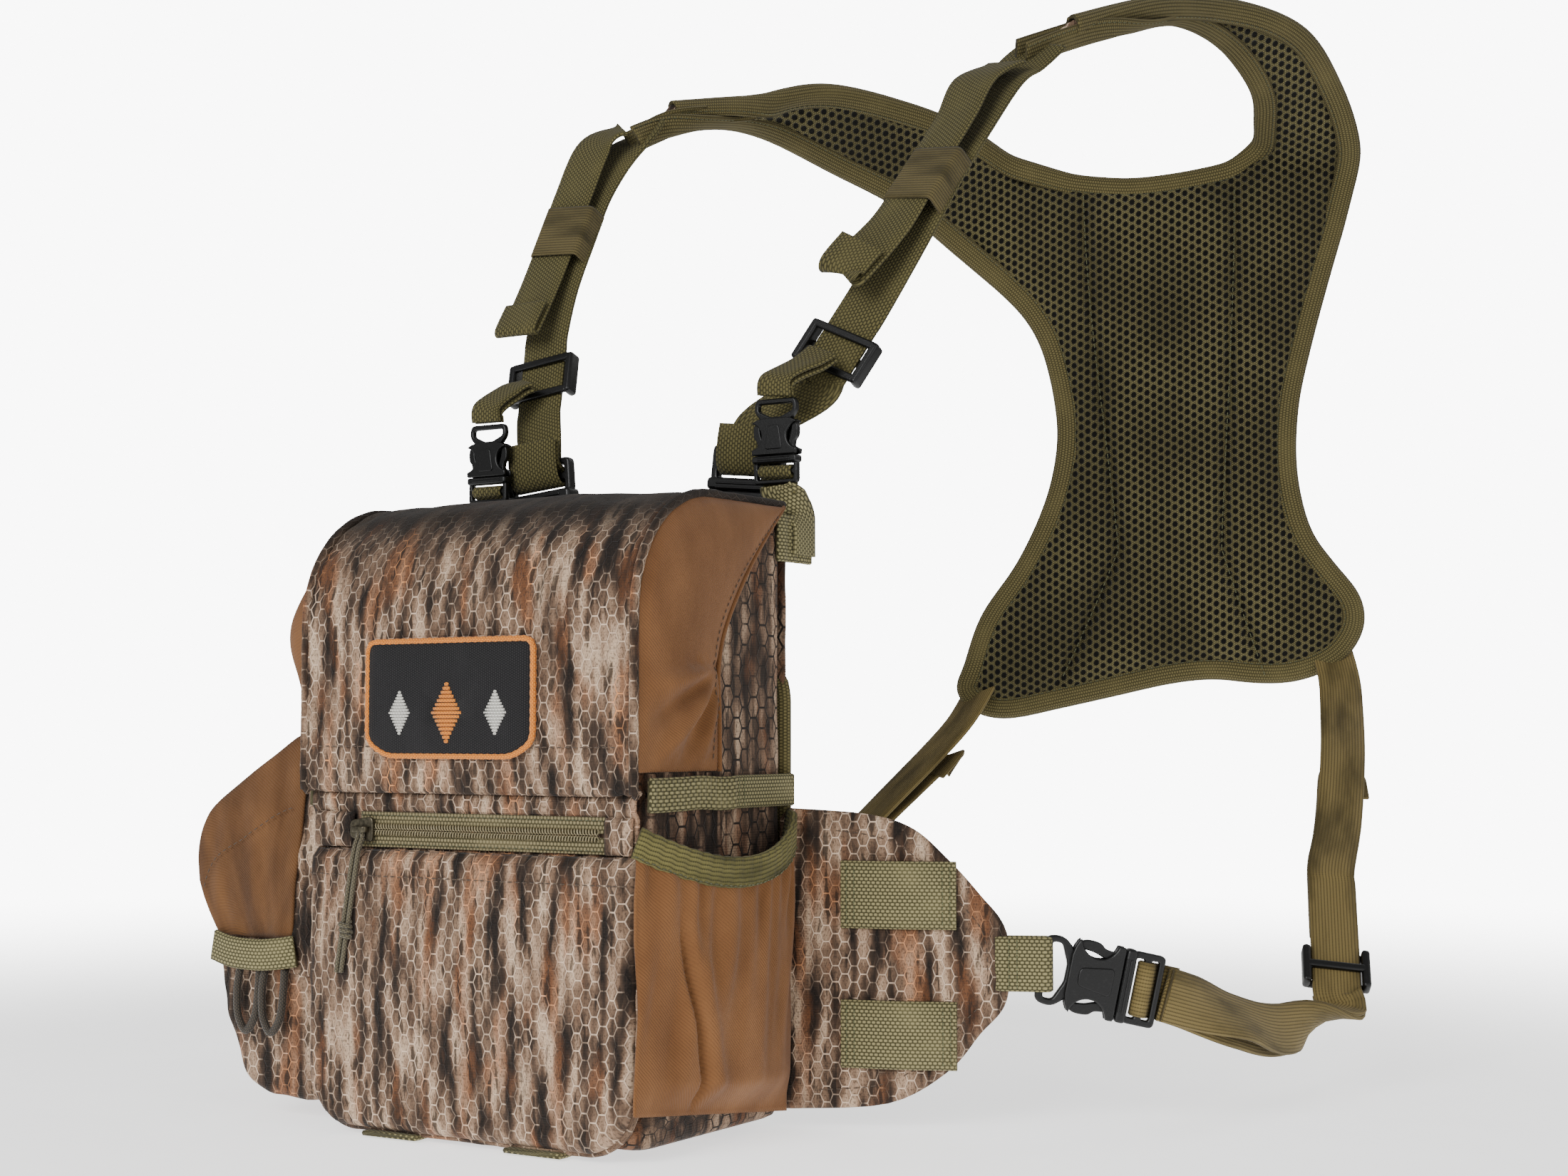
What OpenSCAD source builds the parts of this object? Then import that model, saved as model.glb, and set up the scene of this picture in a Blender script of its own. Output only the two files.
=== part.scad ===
// Binocular harness pack: a chest pouch with a fold-down lid, side pockets and
// wings, carried on a padded yoke with adjustable webbing and side-release buckles.
// Frame: origin at the middle of the chest panel's rear face, +Y into the wearer's
// chest, +Z up, +X towards the wearer's left hand. Millimetres.

/* [Pouch] */
// Width of the main pouch
pouch_w = 150; // [140:1:160]
// Height of the lid's crown above the origin
crown_z = 107; // [100:1:112]
// Depth of the front faces in front of the chest panel
front_d = 104; // [98:1:110]
// Height of the pouch's base below the origin
base_d = 122; // [118:1:128]
// Fabric and foam wall of the main pouch
wall = 4; // [3:0.5:5]

/* [Webbing] */
// Width of the shoulder webbing
web_w = 25; // [22:1:25]
// Width of the side straps' elastic webbing
side_w = 20; // [18:1:20]
// Width of the tether webbing
tether_w = 15; // [12:1:15]
// Thickness of one layer of webbing
web_t = 1.8; // [1.2:0.1:1.8]

/* [Wings] */
// Thickness of a padded wing
wing_t = 6; // [4:0.5:8]
// Angle by which the wings wrap back round the chest
wing_wrap = 20; // [15:1:22]

/* [Yoke] */
// Thickness of the padded yoke
yoke_t = 8; // [6:0.5:9]
// Angle by which the back pad is turned about the vertical
yoke_turn = 22; // [18:1:26]

/* [Zip] */
// Clear run of the zip's slider
zip_run = 100; // [90:1:104]

/* [Hidden] */
$fn = 48;
gap = 0.3;
half_w = pouch_w / 2;
panel_t = 6;                          // chest panel
panel_step = 2.4;                     // its upper part stands back by this, for the webbing
panel_step_z = 48;
shell_front = front_d - 7;            // front of the shell's front wall
lid_t = 5;
lid_r = 45;                           // outer radius of the lid's front crown
gusset_t = 1.6;
zip_z = -14;                          // height of the zip's centre line
zip_x0 = -47;                         // slider's closed position
wing_z = -63;                         // height of the wings' buckle tabs
hood_t = 2;

// ---- Curves and ribbons ----
function clampi(v, i) = v[max(0, min(len(v) - 1, i))];
function cr(a, b, c, d, t) =
    0.5 * (2 * b + (c - a) * t + (2 * a - 5 * b + 4 * c - d) * t * t
        + (3 * b - a - 3 * c + d) * t * t * t);
// A smooth curve through the points of v, with n steps from each to the next.
function spline(v, n) = concat(
    [for (i = [0:len(v) - 2]) for (j = [0:n - 1])
        cr(clampi(v, i - 1), v[i], v[i + 1], clampi(v, i + 2), j / n)],
    [v[len(v) - 1]]);
function unit(v) = v / max(norm(v), 1e-9);
function tangent(c, i) = unit(clampi(c, i + 1) - clampi(c, i - 1));

// A closed band of thickness t between two edge curves with equally many points.
module band(a, b, t) {
    n = len(a);
    nrm = [for (i = [0:n - 1])
        unit(cross(tangent((a + b) / 2, i), b[i] - a[i])) * t / 2];
    pts = [for (i = [0:n - 1]) each [a[i] + nrm[i], b[i] + nrm[i], b[i] - nrm[i], a[i] - nrm[i]]];
    sides = [for (i = [0:n - 2]) for (k = [0:3])
        let (p = 4 * i + k, q = 4 * i + (k + 1) % 4)
        each [[p, q, q + 4], [p, q + 4, p + 4]]];
    last = 4 * (n - 1);
    polyhedron(pts, concat(sides, [[3, 2, 1, 0]],
        [[last, last + 1, last + 2, last + 3]]), convexity = 8);
}

// Webbing of width w along route, a list of [point, side direction] pairs.
module webbing(route, w, t, n = 5) {
    c = spline([for (r = route) r[0]], n);
    s = spline([for (r = route) unit(r[1])], n);
    side = [for (i = [0:len(c) - 1])
        unit(s[i] - (s[i] * tangent(c, i)) * tangent(c, i)) * w / 2];
    band(c - side, c + side, t);
}

// A round tube of 8 sides along points c.
module tube(c, d) {
    n = len(c);
    m = 8;
    u = [for (i = [0:n - 1]) unit(cross(tangent(c, i), [0.1, 1, 0.05]))];
    v = [for (i = [0:n - 1]) cross(tangent(c, i), u[i])];
    pts = [for (i = [0:n - 1]) for (k = [0:m - 1])
        c[i] + d / 2 * (cos(360 * k / m) * u[i] + sin(360 * k / m) * v[i])];
    sides = [for (i = [0:n - 2]) for (k = [0:m - 1])
        let (p = m * i + k, q = m * i + (k + 1) % m)
        each [[p, p + m, q + m], [p, q + m, q]]];
    polyhedron(pts, concat(sides, [[for (k = [0:m - 1]) k]],
        [[for (k = [m - 1:-1:0]) m * (n - 1) + k]]), convexity = 8);
}

// Puts children at p with their X axis along v and their Y axis near side.
module at(p, v, side, k = 1) {
    x = unit(v);
    y = unit(side - (side * x) * x);
    z = cross(x, y);
    multmatrix([[x[0], y[0], z[0], p[0]], [x[1], y[1], z[1], p[1]],
        [x[2], y[2], z[2], p[2]], [0, 0, 0, 1]]) scale(k) children();
}

module flip(left) {
    mirror([left ? 1 : 0, 0, 0]) children();
}

// Extrudes an outline drawn in the XZ plane from y0 to y1.
module along_y(y0, y1) {
    translate([0, y1, 0]) rotate([90, 0, 0]) linear_extrude(y1 - y0) children();
}

module rounded_box(x0, x1, y0, y1, z0, z1, r) {
    along_y(y0, y1) rounded_rect(x0, x1, z0, z1, r);
}

module rounded_rect(x0, x1, y0, y1, r) {
    for (p = [[x0 + r, y0, x1 - r, y1], [x0, y0 + r, x1, y1 - r]])
        translate([p[0], p[1]]) square([p[2] - p[0], p[3] - p[1]]);
    for (x = [x0 + r, x1 - r], y = [y0 + r, y1 - r]) translate([x, y]) circle(r);
}

// Extrudes a profile drawn in the YZ plane from x0 to x1.
module along_x(x0, x1) {
    translate([x0, 0, 0]) rotate([90, 0, 90]) linear_extrude(x1 - x0) children();
}

// ---- Main pouch ----
// The side profile of the pouch, brought in by d from the lid's outer face.
module side_profile(d, z0) {
    r = lid_r - d;
    cy = -front_d + lid_r;
    cz = crown_z - lid_r;
    translate([cy, cz]) circle(r);
    translate([-front_d + d, z0]) square([r, cz - z0]);
    translate([cy, z0]) square([-panel_t - gap - cy, crown_z - d - z0]);
}

module pouch_shell() {
    color([0.36, 0.28, 0.22]) difference() {
        intersection() {
            along_x(-half_w, half_w) side_profile(7, -base_d + 1);
            translate([0, 0, -base_d]) linear_extrude(300)
                rounded_rect(-half_w, half_w, -shell_front, -panel_t - gap, 8);
        }
        along_x(-half_w + wall, half_w - wall)
            translate([-shell_front + wall, -base_d + 1 + wall])
                square([shell_front - 2 * wall - panel_t - gap, 300]);
        // The mouth: the front wall stops where the lid's crown begins.
        along_x(-half_w + wall, half_w - wall)
            translate([-shell_front - 1, crown_z - lid_r - 2]) square([60, 60]);
    }
}

module chest_panel() {
    color([0.33, 0.27, 0.2]) difference() {
        union() {
            rounded_box(-half_w, half_w, -panel_t, 0, -base_d + 2, panel_step_z, 14);
            rounded_box(-half_w, half_w, -panel_t, -panel_step, -base_d + 2, crown_z - 3, 14);
        }
        rounded_box(-half_w + 3, half_w - 3, -panel_t + 1.2, -1.2,
            -base_d + 5, panel_step_z - 3, 12);
    }
}

module chest_foam() {
    color([0.25, 0.25, 0.25])
        rounded_box(-half_w + 3.1, half_w - 3.1, -panel_t + 1.25, -1.25,
            -base_d + 5.1, panel_step_z - 3.1, 12);
}

module lid_panel() {
    color([0.42, 0.33, 0.26]) along_x(-half_w - 1, half_w + 1) difference() {
        intersection() {
            side_profile(0, 0);
            translate([-front_d, 0]) square([front_d - 8, 200]);
        }
        side_profile(lid_t, -1);
        translate([-70, -1]) square([80, crown_z - lid_t + 1]);
    }
}

// A stretch gusset that joins the lid's end to its elastic rear edge.
module lid_gusset() {
    rear = spline([[-10, crown_z - 1.5], [-24, 92], [-38, 76], [-50, 58],
        [-54, 44], [-53, 28], [-53, 8]], 4);
    outline = concat(rear, [[-front_d + 1, 8], [-front_d + 1, crown_z - lid_r]],
        [for (a = [180:-15:90]) [-front_d + lid_r, crown_z - lid_r]
            + (lid_r - 1) * [cos(a), sin(a)]]);
    color([0.42, 0.24, 0.11])
        along_x(half_w + 1 + gap, half_w + 1 + gap + gusset_t) polygon(outline);
}

module lid_badge() {
    color([0.08, 0.08, 0.08])
        rounded_box(-41, 35, -front_d - 2.2, -front_d - 0.2, 13, 54, 7);
}

module lid_hinge_strip() {
    color([0.3, 0.24, 0.19])
        rounded_box(-half_w + 1, half_w - 1, -shell_front - 2.6, -shell_front - gap,
            -8, -0.5, 1);
}

module front_pocket() {
    color([0.4, 0.32, 0.25]) {
        along_y(-front_d, -shell_front - gap) {
            rounded_rect(-half_w + 1, half_w - 1, -base_d, -21, 12);
            translate([-half_w + 1, -60]) square([pouch_w - 2, 39]);
        }
        translate([-half_w + 1, -shell_front - 1.8, -20.9])
            cube([pouch_w - 2, 1.5, 12.7]);
    }
}

// ---- Zip ----
module zip_tape() {
    color([0.36, 0.35, 0.22]) {
        translate([zip_x0 - 3, -shell_front - 3, -20.6]) cube([zip_run + 11, 1, 12.2]);
        for (s = [-1, 1]) translate([zip_x0 - 2, -shell_front - 3.8, zip_z + s * 1.6])
            rotate([0, 90, 0]) cylinder(h = zip_run + 9, r = 0.75, $fn = 16);
    }
}

module zip_end_tabs() {
    color([0.33, 0.26, 0.2])
        for (x = [[-half_w + 2, zip_x0 - 6.5], [zip_x0 + zip_run + 8.3, half_w - 2]])
            rounded_box(x[0], x[1], -shell_front - 4.6, -shell_front - 2, -20.6, -8.4, 1);
}

module zip_slider() {
    y = -shell_front - 4.8;
    color([0.2, 0.2, 0.17]) {
        hull() for (x = [-5, 4], s = [-1, 1])
            translate([zip_x0 + x, y, zip_z + s * (x < 0 ? 2.6 : 4)])
                rotate([90, 0, 0]) cylinder(h = 1, r = 1, $fn = 16);
        difference() {
            translate([zip_x0 - 3.5, y - 3.6, zip_z - 1.2]) cube([7, 2.7, 2.4]);
            translate([zip_x0, y - 1.9, zip_z - 2]) cylinder(h = 4, r = 1.2);
        }
    }
}

cord_d = 1.8;
// One of the pull's two strands, from the slider's eye down past the knot.
cord_route = [[-47, -103.8, -17], [-47.3, -105.4, -21], [-48.5, -106.2, -31],
    [-50, -106.4, -41], [-51.5, -106.5, -50], [-53, -106.4, -58], [-54.5, -106.2, -66]];
module zip_cord() {
    color([0.3, 0.28, 0.2]) {
        for (s = [-1, 1]) tube([for (p = spline(cord_route, 3)) p + [1.1 * s, 0, 0]], cord_d);
        translate(cord_route[4]) rotate([0, 12, 0]) translate([0, 0, -2.5])
            cylinder(h = 5, r = 2.3, $fn = 24);
    }
}

// ---- Side pocket and bands ----
// A crescent in plan that stands out from the pouch's side by h.
module crescent(h, t, y0, y1) {
    c = (y0 + y1) / 2;
    w = (y1 - y0) / 2;
    r = (w * w + h * h) / (2 * h);
    intersection() {
        translate([half_w + gap, y0 - 1]) square([h + 1, y1 - y0 + 2]);
        difference() {
            translate([half_w + gap + h - r, c]) circle(r, $fn = 96);
            translate([half_w + gap + h - r, c]) circle(r - t, $fn = 96);
        }
    }
}

module stretch_pocket() {
    color([0.42, 0.24, 0.11]) {
        translate([0, 0, -109]) linear_extrude(78) crescent(13, 1.6, -102, -6);
        translate([0, 0, -110.6]) linear_extrude(1.6) intersection() {
            translate([half_w + gap, -102]) square([20, 96]);
            translate([half_w + gap + 13 - 95.1, -54]) circle(95.1, $fn = 96);
        }
    }
}

module stretch_pocket_hem() {
    color([0.33, 0.33, 0.18])
        translate([0, 0, -30.8]) linear_extrude(10) crescent(14, 2.6, -102, -6);
}

module band_right() {
    color([0.33, 0.36, 0.2]) {
        translate([half_w + gap, -96, -6]) cube([2.8, 56, 12]);
        translate([half_w + gap, -40, -6]) cube([1.8, 36, 12]);
    }
}

// ---- Left side pouch ----
pouch_y = [-92, -14];
pouch_x = -half_w - 3.3;               // its inner side, clear of the lid's gusset
// Its outline as seen from the front, brought in by d.
function pouch_outline(d) = [[pouch_x - d, 20 - d], [-91, 17 - d], [-130 + d, -7 - d],
    [-139 + d, -23], [-134 + d, -56], [-118 + d, -101], [-104 + d * 0.7, -120 + d],
    [pouch_x - d, -120 + d]];

module side_pouch() {
    color([0.38, 0.3, 0.24]) difference() {
        along_y(pouch_y[0], pouch_y[1]) polygon(pouch_outline(0));
        along_y(pouch_y[0] + 2.5, pouch_y[1] - 2.5) polygon(pouch_outline(2.5));
        // The mouth, under the hood.
        along_y(pouch_y[0] + 2.5, pouch_y[1] - 2.5)
            polygon([[-84, 30], [-84, 5], [-124, -20], [-131, -12], [-124, 30]]);
    }
}

module side_pouch_hood() {
    // A sloping top with a rounded outer shoulder, and the flap down the front.
    top = [[-82, 20.6], [-91, 18], [-130.3, -6.3], [-139.6, -22.6], [-138.5, -31]];
    out = [[-140.6, -31], [-141.8, -22.4], [-131.6, -4.6], [-91.6, 20], [-82, 22.6]];
    color([0.42, 0.24, 0.11]) {
        along_y(pouch_y[0] - gap, pouch_y[1]) polygon(concat(top, out));
        along_y(pouch_y[0] - gap - hood_t, pouch_y[0] - gap)
            polygon([[-82, 22.6], [-91.6, 20], [-131.6, -4.6], [-141.8, -22.4],
                [-137, -44], [-128, -56], [-90, -56], [-90, -10]]);
    }
}

module side_pouch_band() {
    color([0.33, 0.36, 0.2]) along_y(pouch_y[0] - gap - 3.2, pouch_y[0] - gap)
        polygon([[-128, -56.2], [-90, -56.2], [-88, -68], [-122, -68]]);
}

// Two folded loops of cord that hang below the band.
lanyard_loop = [[-5, -94.5, -68.4], [-5.5, -95.5, -76], [-4.5, -96, -86],
    [0, -96.2, -92], [4.5, -96, -86], [5.5, -95.5, -76], [5, -94.5, -68.4]];
module side_pouch_lanyard() {
    color([0.16, 0.15, 0.1]) for (x = [-111, -98])
        tube([for (p = spline(lanyard_loop, 3)) p + [x, 0, 0]], 3);
}

// ---- Wings, their webbing and the base ----
module wing_frame(left) {
    flip(left) translate([half_w + gap, 0, 0]) rotate([0, 0, wing_wrap]) children();
}

module wing(left) {
    outline = spline([[0, -7], [28, -9], [45, -14], [58, -25], [70, -38], [80, -52],
        [80, -76], [70, -89], [58, -103], [36, -115], [0, -118]], 3);
    color([0.42, 0.33, 0.26]) wing_frame(left) along_y(-wing_t, 0) polygon(outline);
}

// Load-bearing rows of webbing, sewn down at the standard 51 mm pitch.
module molle_webbing() {
    color([0.33, 0.36, 0.2]) for (left = [false, true], z = [-51, -102])
        wing_frame(left) translate([19, -wing_t - gap - web_t, z]) cube([43, web_t, 25]);
}

module base_webbing() {
    color([0.33, 0.36, 0.2]) for (x = [-45, 20])
        translate([x, -86, -base_d - 1.4]) cube([25, 70, 2]);
}

// A doubled loop of webbing that holds the buckle's yoke bar.
module wing_tab(left) {
    color([0.33, 0.36, 0.2]) wing_frame(left)
        translate([81.7, -4.8, wing_z - side_w / 2]) cube([8.3, 2 * web_t, side_w]);
}

// ---- Side-release buckles, drawn for 25 mm webbing. Local +X is the way the halves
// part, Y the webbing's width and Z the buckle's thickness. ----
bk_w = 33;
bk_t = 8;
slot_w = 26.4;

module buckle_female(p) {
    color([0.05, 0.05, 0.05]) at(p[0], p[1], p[2], p[3]) {
        // Two plates with open sides, where the prongs show, joined at the back.
        for (z = [-4, 2.3]) translate([0, 0, z]) linear_extrude(1.7) difference() {
            translate([-14, -bk_w / 2]) square([22, bk_w]);
            for (s = [-1, 1]) translate([-4.5, s * 20]) circle(8);
        }
        translate([-14, -7, -2.4]) cube([3, 14, 4.8]);
        // The yoke: two arms and the bar that carries the webbing.
        translate([0, 0, -2]) linear_extrude(4) difference() {
            polygon([[-14, -9], [-14, 9], [-20, 16], [-28, 14.5], [-28, -14.5], [-20, -16]]);
            polygon([[-15.5, -4], [-15.5, 4], [-20, 12.8], [-25, 12.8], [-25, -12.8],
                [-20, -12.8]]);
        }
    }
}

module buckle_male(p) {
    color([0.05, 0.05, 0.05]) at(p[0], p[1], p[2], p[3]) {
        translate([8.3, -bk_w / 2, -bk_t / 2]) cube([4.7, bk_w, bk_t]);
        translate([-10, -3, -1.9]) cube([18.4, 6, 3.8]);
        difference() {
            translate([12.9, -bk_w / 2 + 0.5, -2]) cube([13.1, bk_w - 1, 4]);
            for (x = [[13.2, 4], [20, 3.6]])
                translate([x[0], -slot_w / 2, -3]) cube([x[1], slot_w, 6]);
        }
    }
}

// One flexing prong, on the +Y side for s = 1. It turns about [8.2, s * 11.5], and its
// root ends at root_x from there.
module buckle_prong(p, s, root_x = -0.35) {
    color([0.05, 0.05, 0.05]) at(p[0], p[1], p[2], p[3])
        translate([8.2, s * 11.5, -1.9]) linear_extrude(3.8) scale([1, s])
            polygon(spline([[root_x, -1.8], [-8, -1.8], [-14, 0], [-20.5, 0.8],
                [-21.5, 2.6], [-18, 4.8], [-12, 4.6], [-9, 2.6], [-5, 2], [root_x, 2]], 4));
}

// A male half with both prongs moulded in one piece.
module pronged_male(p) {
    buckle_male(p);
    for (s = [-1, 1]) buckle_prong(p, s, 0.4);
}

// ---- Places of the buckles: position, pull-out direction, width direction, scale ----
side_buckle = [[181.5, 41.2, -69], [0.83, 0.52, -0.21], [0, 0, 1], 0.82];
function strap_buckle(s) = [[s * 49, 5.6, 106], [s * 0.1, 0.03, 1], [1, 0, 0], 1];
function tether_buckle(s) = [[s * 70, -4, 131], [0, 0, -1], [1, 0, 0], 0.6];

// ---- Side straps: elastic webbing from the buckles to the back pad. Each runs
// straight for a stretch, along which its adjuster slides. ----
side_a = [[219, 192, -76], [-58, 187, -72]];
side_u = [unit([-0.24, 0.64, 0.73]), unit([0.49, 0.52, 0.7])];
side_face = [[0.85, 0.53, 0], [0.9, -0.3, 0]];
function straight(p, v, side, ks) = [for (k = ks) [p + k * unit(v), side]];
side_run = [-20, -11, 20, 44, 54];
side_route_right = concat(
    [[[200.6, 53.2, -73.9], [0.18, 0.11, 0.98]], [[204, 66, -78], [0, 0.1, 1]],
        [[208, 95, -89], [-0.6, 0.1, 1]], [[214, 132, -95], [-0.2, 0.4, 1]]],
    straight(side_a[0], side_u[0], side_face[0], side_run),
    [[[201, 253, -17], side_face[0]], [[193, 284, 10], side_face[0]],
        [[183, 314, 32], side_face[0]], [[177, 328, 48], side_face[0]]]);
side_route_left = concat(
    [[[-200.6, 53.2, -73.9], [-0.18, 0.11, 0.98]], [[-199, 68, -78], [0, 0.1, 1]],
        [[-180, 98, -88], [0.3, 0.1, 1]], [[-146, 128, -93], [0.3, 0.1, 1]],
        [[-100, 157, -94], [0.6, -0.2, 0.8]]],
    straight(side_a[1], side_u[1], side_face[1], side_run),
    [[[-15, 232, -11], side_face[1]], [[2, 248, 12], side_face[1]],
        [[12, 258, 28], side_face[1]]]);

module side_strap(route) {
    color([0.36, 0.33, 0.18]) webbing(route, side_w, web_t, 4);
}

// A three-bar slide. The webbing passes between its end bars and its middle bar.
module slide_bars(w) {
    for (s = [-1, 1]) translate([-9, s * (w / 2 + 2) - 1.5, -3.2]) cube([18, 3, 6.4]);
    for (x = [-9, 6]) translate([x, -w / 2 - 0.6, -3.2]) cube([3, w + 1.2, 2]);
    translate([-1.5, -w / 2 - 0.6, 1.2]) cube([3, w + 1.2, 2]);
}

module side_adjuster(i) {
    color([0.05, 0.05, 0.05]) at(side_a[i], side_u[i], side_face[i]) slide_bars(side_w);
}

// ---- Yoke: the padded back piece and its two arms ----
yoke_o = [96, 300, 0];
yoke_outline = [[-93, 52], [-97, 42], [-88, 32], [-72, 29], [-47, 34], [-20, 40],
    [7, 46], [28, 48], [48, 46], [67, 47], [86, 55], [97, 70], [96, 86], [84, 102],
    [73, 119], [67, 147], [68, 178], [74, 206], [83, 239], [91, 266], [96, 286]];
yoke_neck = [[50, 303], [38, 299], [15, 295], [-11, 293], [-38, 296], [-61, 300]];
yoke_left_edge = [[-90, 254], [-75, 241], [-62, 227], [-53, 210], [-47, 184],
    [-46, 161], [-52, 134], [-66, 104], [-84, 78]];

module yoke_back() {
    color([0.2, 0.19, 0.12]) translate(yoke_o) rotate([0, 0, yoke_turn])
        along_y(0, yoke_t) polygon(concat(spline(yoke_outline, 3), spline(yoke_neck, 3),
            spline(yoke_left_edge, 3)));
}

// Each arm lies between two edges, from the back pad forwards over the shoulder.
arm_right_neck = [[142, 322, 307], [148, 306, 313], [155, 282, 324], [152, 243, 337],
    [145, 198, 336], [137, 152, 318], [119, 108, 298]];
arm_right_outer = [[185, 340, 290], [190, 330, 304], [189, 308, 326], [184, 272, 345],
    [166, 232, 350], [151, 180, 340], [134, 128, 320]];
arm_left_neck = [[36, 280, 302], [25, 246, 314], [10, 213, 321], [-9, 167, 322],
    [-25, 128, 310], [-44, 88, 300]];
arm_left_outer = [[9, 269, 256], [-6, 232, 277], [-24, 198, 290], [-38, 148, 300],
    [-38, 100, 292], [-44, 64, 275]];

module yoke_arm(neck, outer) {
    color([0.24, 0.23, 0.15]) band(spline(neck, 4), spline(outer, 4), yoke_t - 1);
}

// ---- Shoulder webbing: from the arm's end down to the buckle, with its tail folded
// back over the front ----
triglide_place = [[[81, 22, 168], [-0.4, -0.36, -0.86], [1, 0, -0.4]],
    [[-59, 17, 168], [0.14, -0.32, -0.95], [1, 0, 0]]];
slide_run = [-22, -11, 11, 18];
web_route_right = concat(
    [[[121, 107, 297.5], [1, 0.5, 0.3]], [[117, 95, 287], [1, 0.3, 0.1]],
        [[113, 76, 264], [1, 0.2, -0.1]], [[108, 60, 242], [1, 0.2, -0.2]],
        [[100, 44, 215], [1, 0.1, -0.3]]],
    straight(triglide_place[0][0], triglide_place[0][1], triglide_place[0][2], slide_run),
    [[[56, 9, 142], [1, 0, -0.1]], [[52.5, 6.8, 137], [1, 0, 0]], [[51.9, 6.5, 133], [1, 0, 0]]]);
web_route_left = concat(
    [[[-47.5, 66.5, 279], [1, 0, 0.1]], [[-55, 61, 269], [1, 0, 0.1]],
        [[-61, 53, 252], [1, 0, 0.05]], [[-63, 43, 230], [1, 0, 0]],
        [[-64, 33, 208], [1, 0, 0]]],
    straight(triglide_place[1][0], triglide_place[1][1], triglide_place[1][2], slide_run),
    [[[-53.5, 8, 142], [1, 0, 0]], [[-52.2, 6.8, 137], [1, 0, 0]], [[-51.9, 6.5, 133], [1, 0, 0]]]);
tail_route_right = [[[111, 82, 286], [1, 0.2, 0]], [[109, 69, 268], [1, 0.2, -0.1]],
    [[104, 53.5, 246], [1, 0.2, -0.2]], [[97, 38, 221], [1, 0.2, -0.3]],
    [[88, 22, 202], [1, 0, -0.4]]];
tail_route_left = [[[-61, 55, 276], [1, 0, 0.1]], [[-66, 47, 254], [1, 0, 0.05]],
    [[-68, 38, 232], [1, 0, 0]], [[-69, 27, 210], [1, 0, 0]], [[-68, 14, 191], [1, 0, 0]]];

module shoulder_web(route, tail) {
    color([0.33, 0.32, 0.19]) {
        webbing(route, web_w, web_t, 4);
        webbing(tail, web_w, web_t, 4);
    }
}

// An elastic sleeve round both layers, from a to b.
keeper_ends = [[[107.4, 61, 250], [100.8, 46.6, 228]], [[-64, 46, 245], [-66, 36.5, 223]]];
keeper_side = [[1, 0.2, -0.2], [1, 0, 0]];
module keeper(i) {
    a = keeper_ends[i][0];
    v = keeper_ends[i][1] - a;
    color([0.3, 0.22, 0.1]) at(a, v, keeper_side[i]) rotate([90, 0, 90])
        linear_extrude(norm(v)) difference() {
            rounded_rect(-18.5, 18.5, -7, 7, 3);
            rounded_rect(-17.5, 17.5, -6, 6, 2);
        }
}

module triglide(i) {
    p = triglide_place[i];
    color([0.05, 0.05, 0.05]) at(p[0], p[1], p[2]) slide_bars(web_w);
}

// The webbing tab that joins each shoulder buckle to the chest panel, in its step.
module strap_anchor(left) {
    color([0.33, 0.36, 0.2]) flip(left)
        translate([33.7, gap - panel_step, 50]) cube([web_w, web_t, 27]);
}

// ---- Tethers: a short web from the slide to the small buckle, and the web below it,
// which turns on to the pouch's side ----
tether_upper = [[[[80, 14, 166], [1, 0, -0.2]], [[77, 8, 161], [1, 0, -0.1]],
        [[71, -3.6, 154], [1, 0, 0]], [[70, -4, 148.6], [1, 0, 0]]],
    [[[-60, 9, 164], [1, 0, 0]], [[-64, 4, 161], [1, 0, 0]],
        [[-69.5, -3.6, 154], [1, 0, 0]], [[-70, -4, 148.6], [1, 0, 0]]]];
tether_lower = [[[70, -4, 114.6], [1, 0, 0]], [[70.4, -3.8, 112.4], [1, 0, 0]],
    [[73.5, -2, 109], [1, 0.4, 0]], [[77, 1, 104.5], [0.4, 1, 0]],
    [[78.4, 2, 99], [0, 1, 0]], [[78.4, 2, 88], [0, 1, 0]]];

module tether_web(i) {
    color([0.33, 0.36, 0.2]) {
        webbing(tether_upper[i], tether_w, web_t, 3);
        flip(i == 1) {
            webbing(tether_lower, tether_w, web_t, 3);
            translate([half_w + gap, -8, 84]) cube([web_t, 16, 20]);
        }
    }
}

pouch_shell();
chest_panel();
chest_foam();
lid_panel();
lid_gusset();  // lid_gusset_right
flip(true) lid_gusset();  // lid_gusset_left
lid_badge();
lid_hinge_strip();
front_pocket();
zip_tape();
zip_end_tabs();
zip_slider();
zip_cord();
stretch_pocket();
stretch_pocket_hem();
band_right();
flip(true) band_right();  // band_left
side_pouch();
side_pouch_hood();
side_pouch_band();
side_pouch_lanyard();
molle_webbing();
base_webbing();
wing(false);  // wing_right
wing(true);  // wing_left
wing_tab(false);  // wing_tab_right
wing_tab(true);  // wing_tab_left
buckle_female(side_buckle);  // side_buckle_female_right
flip(true) buckle_female(side_buckle);  // side_buckle_female_left
buckle_male(side_buckle);  // side_buckle_male_right
flip(true) buckle_male(side_buckle);  // side_buckle_male_left
buckle_prong(side_buckle, 1);  // side_prong_upper_right
buckle_prong(side_buckle, -1);  // side_prong_lower_right
flip(true) buckle_prong(side_buckle, 1);  // side_prong_upper_left
flip(true) buckle_prong(side_buckle, -1);  // side_prong_lower_left
side_strap(side_route_right);  // side_strap_right
side_strap(side_route_left);  // side_strap_left
side_adjuster(0);  // side_adjuster_right
side_adjuster(1);  // side_adjuster_left
yoke_back();
yoke_arm(arm_right_neck, arm_right_outer);  // yoke_arm_right
yoke_arm(arm_left_neck, arm_left_outer);  // yoke_arm_left
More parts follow.
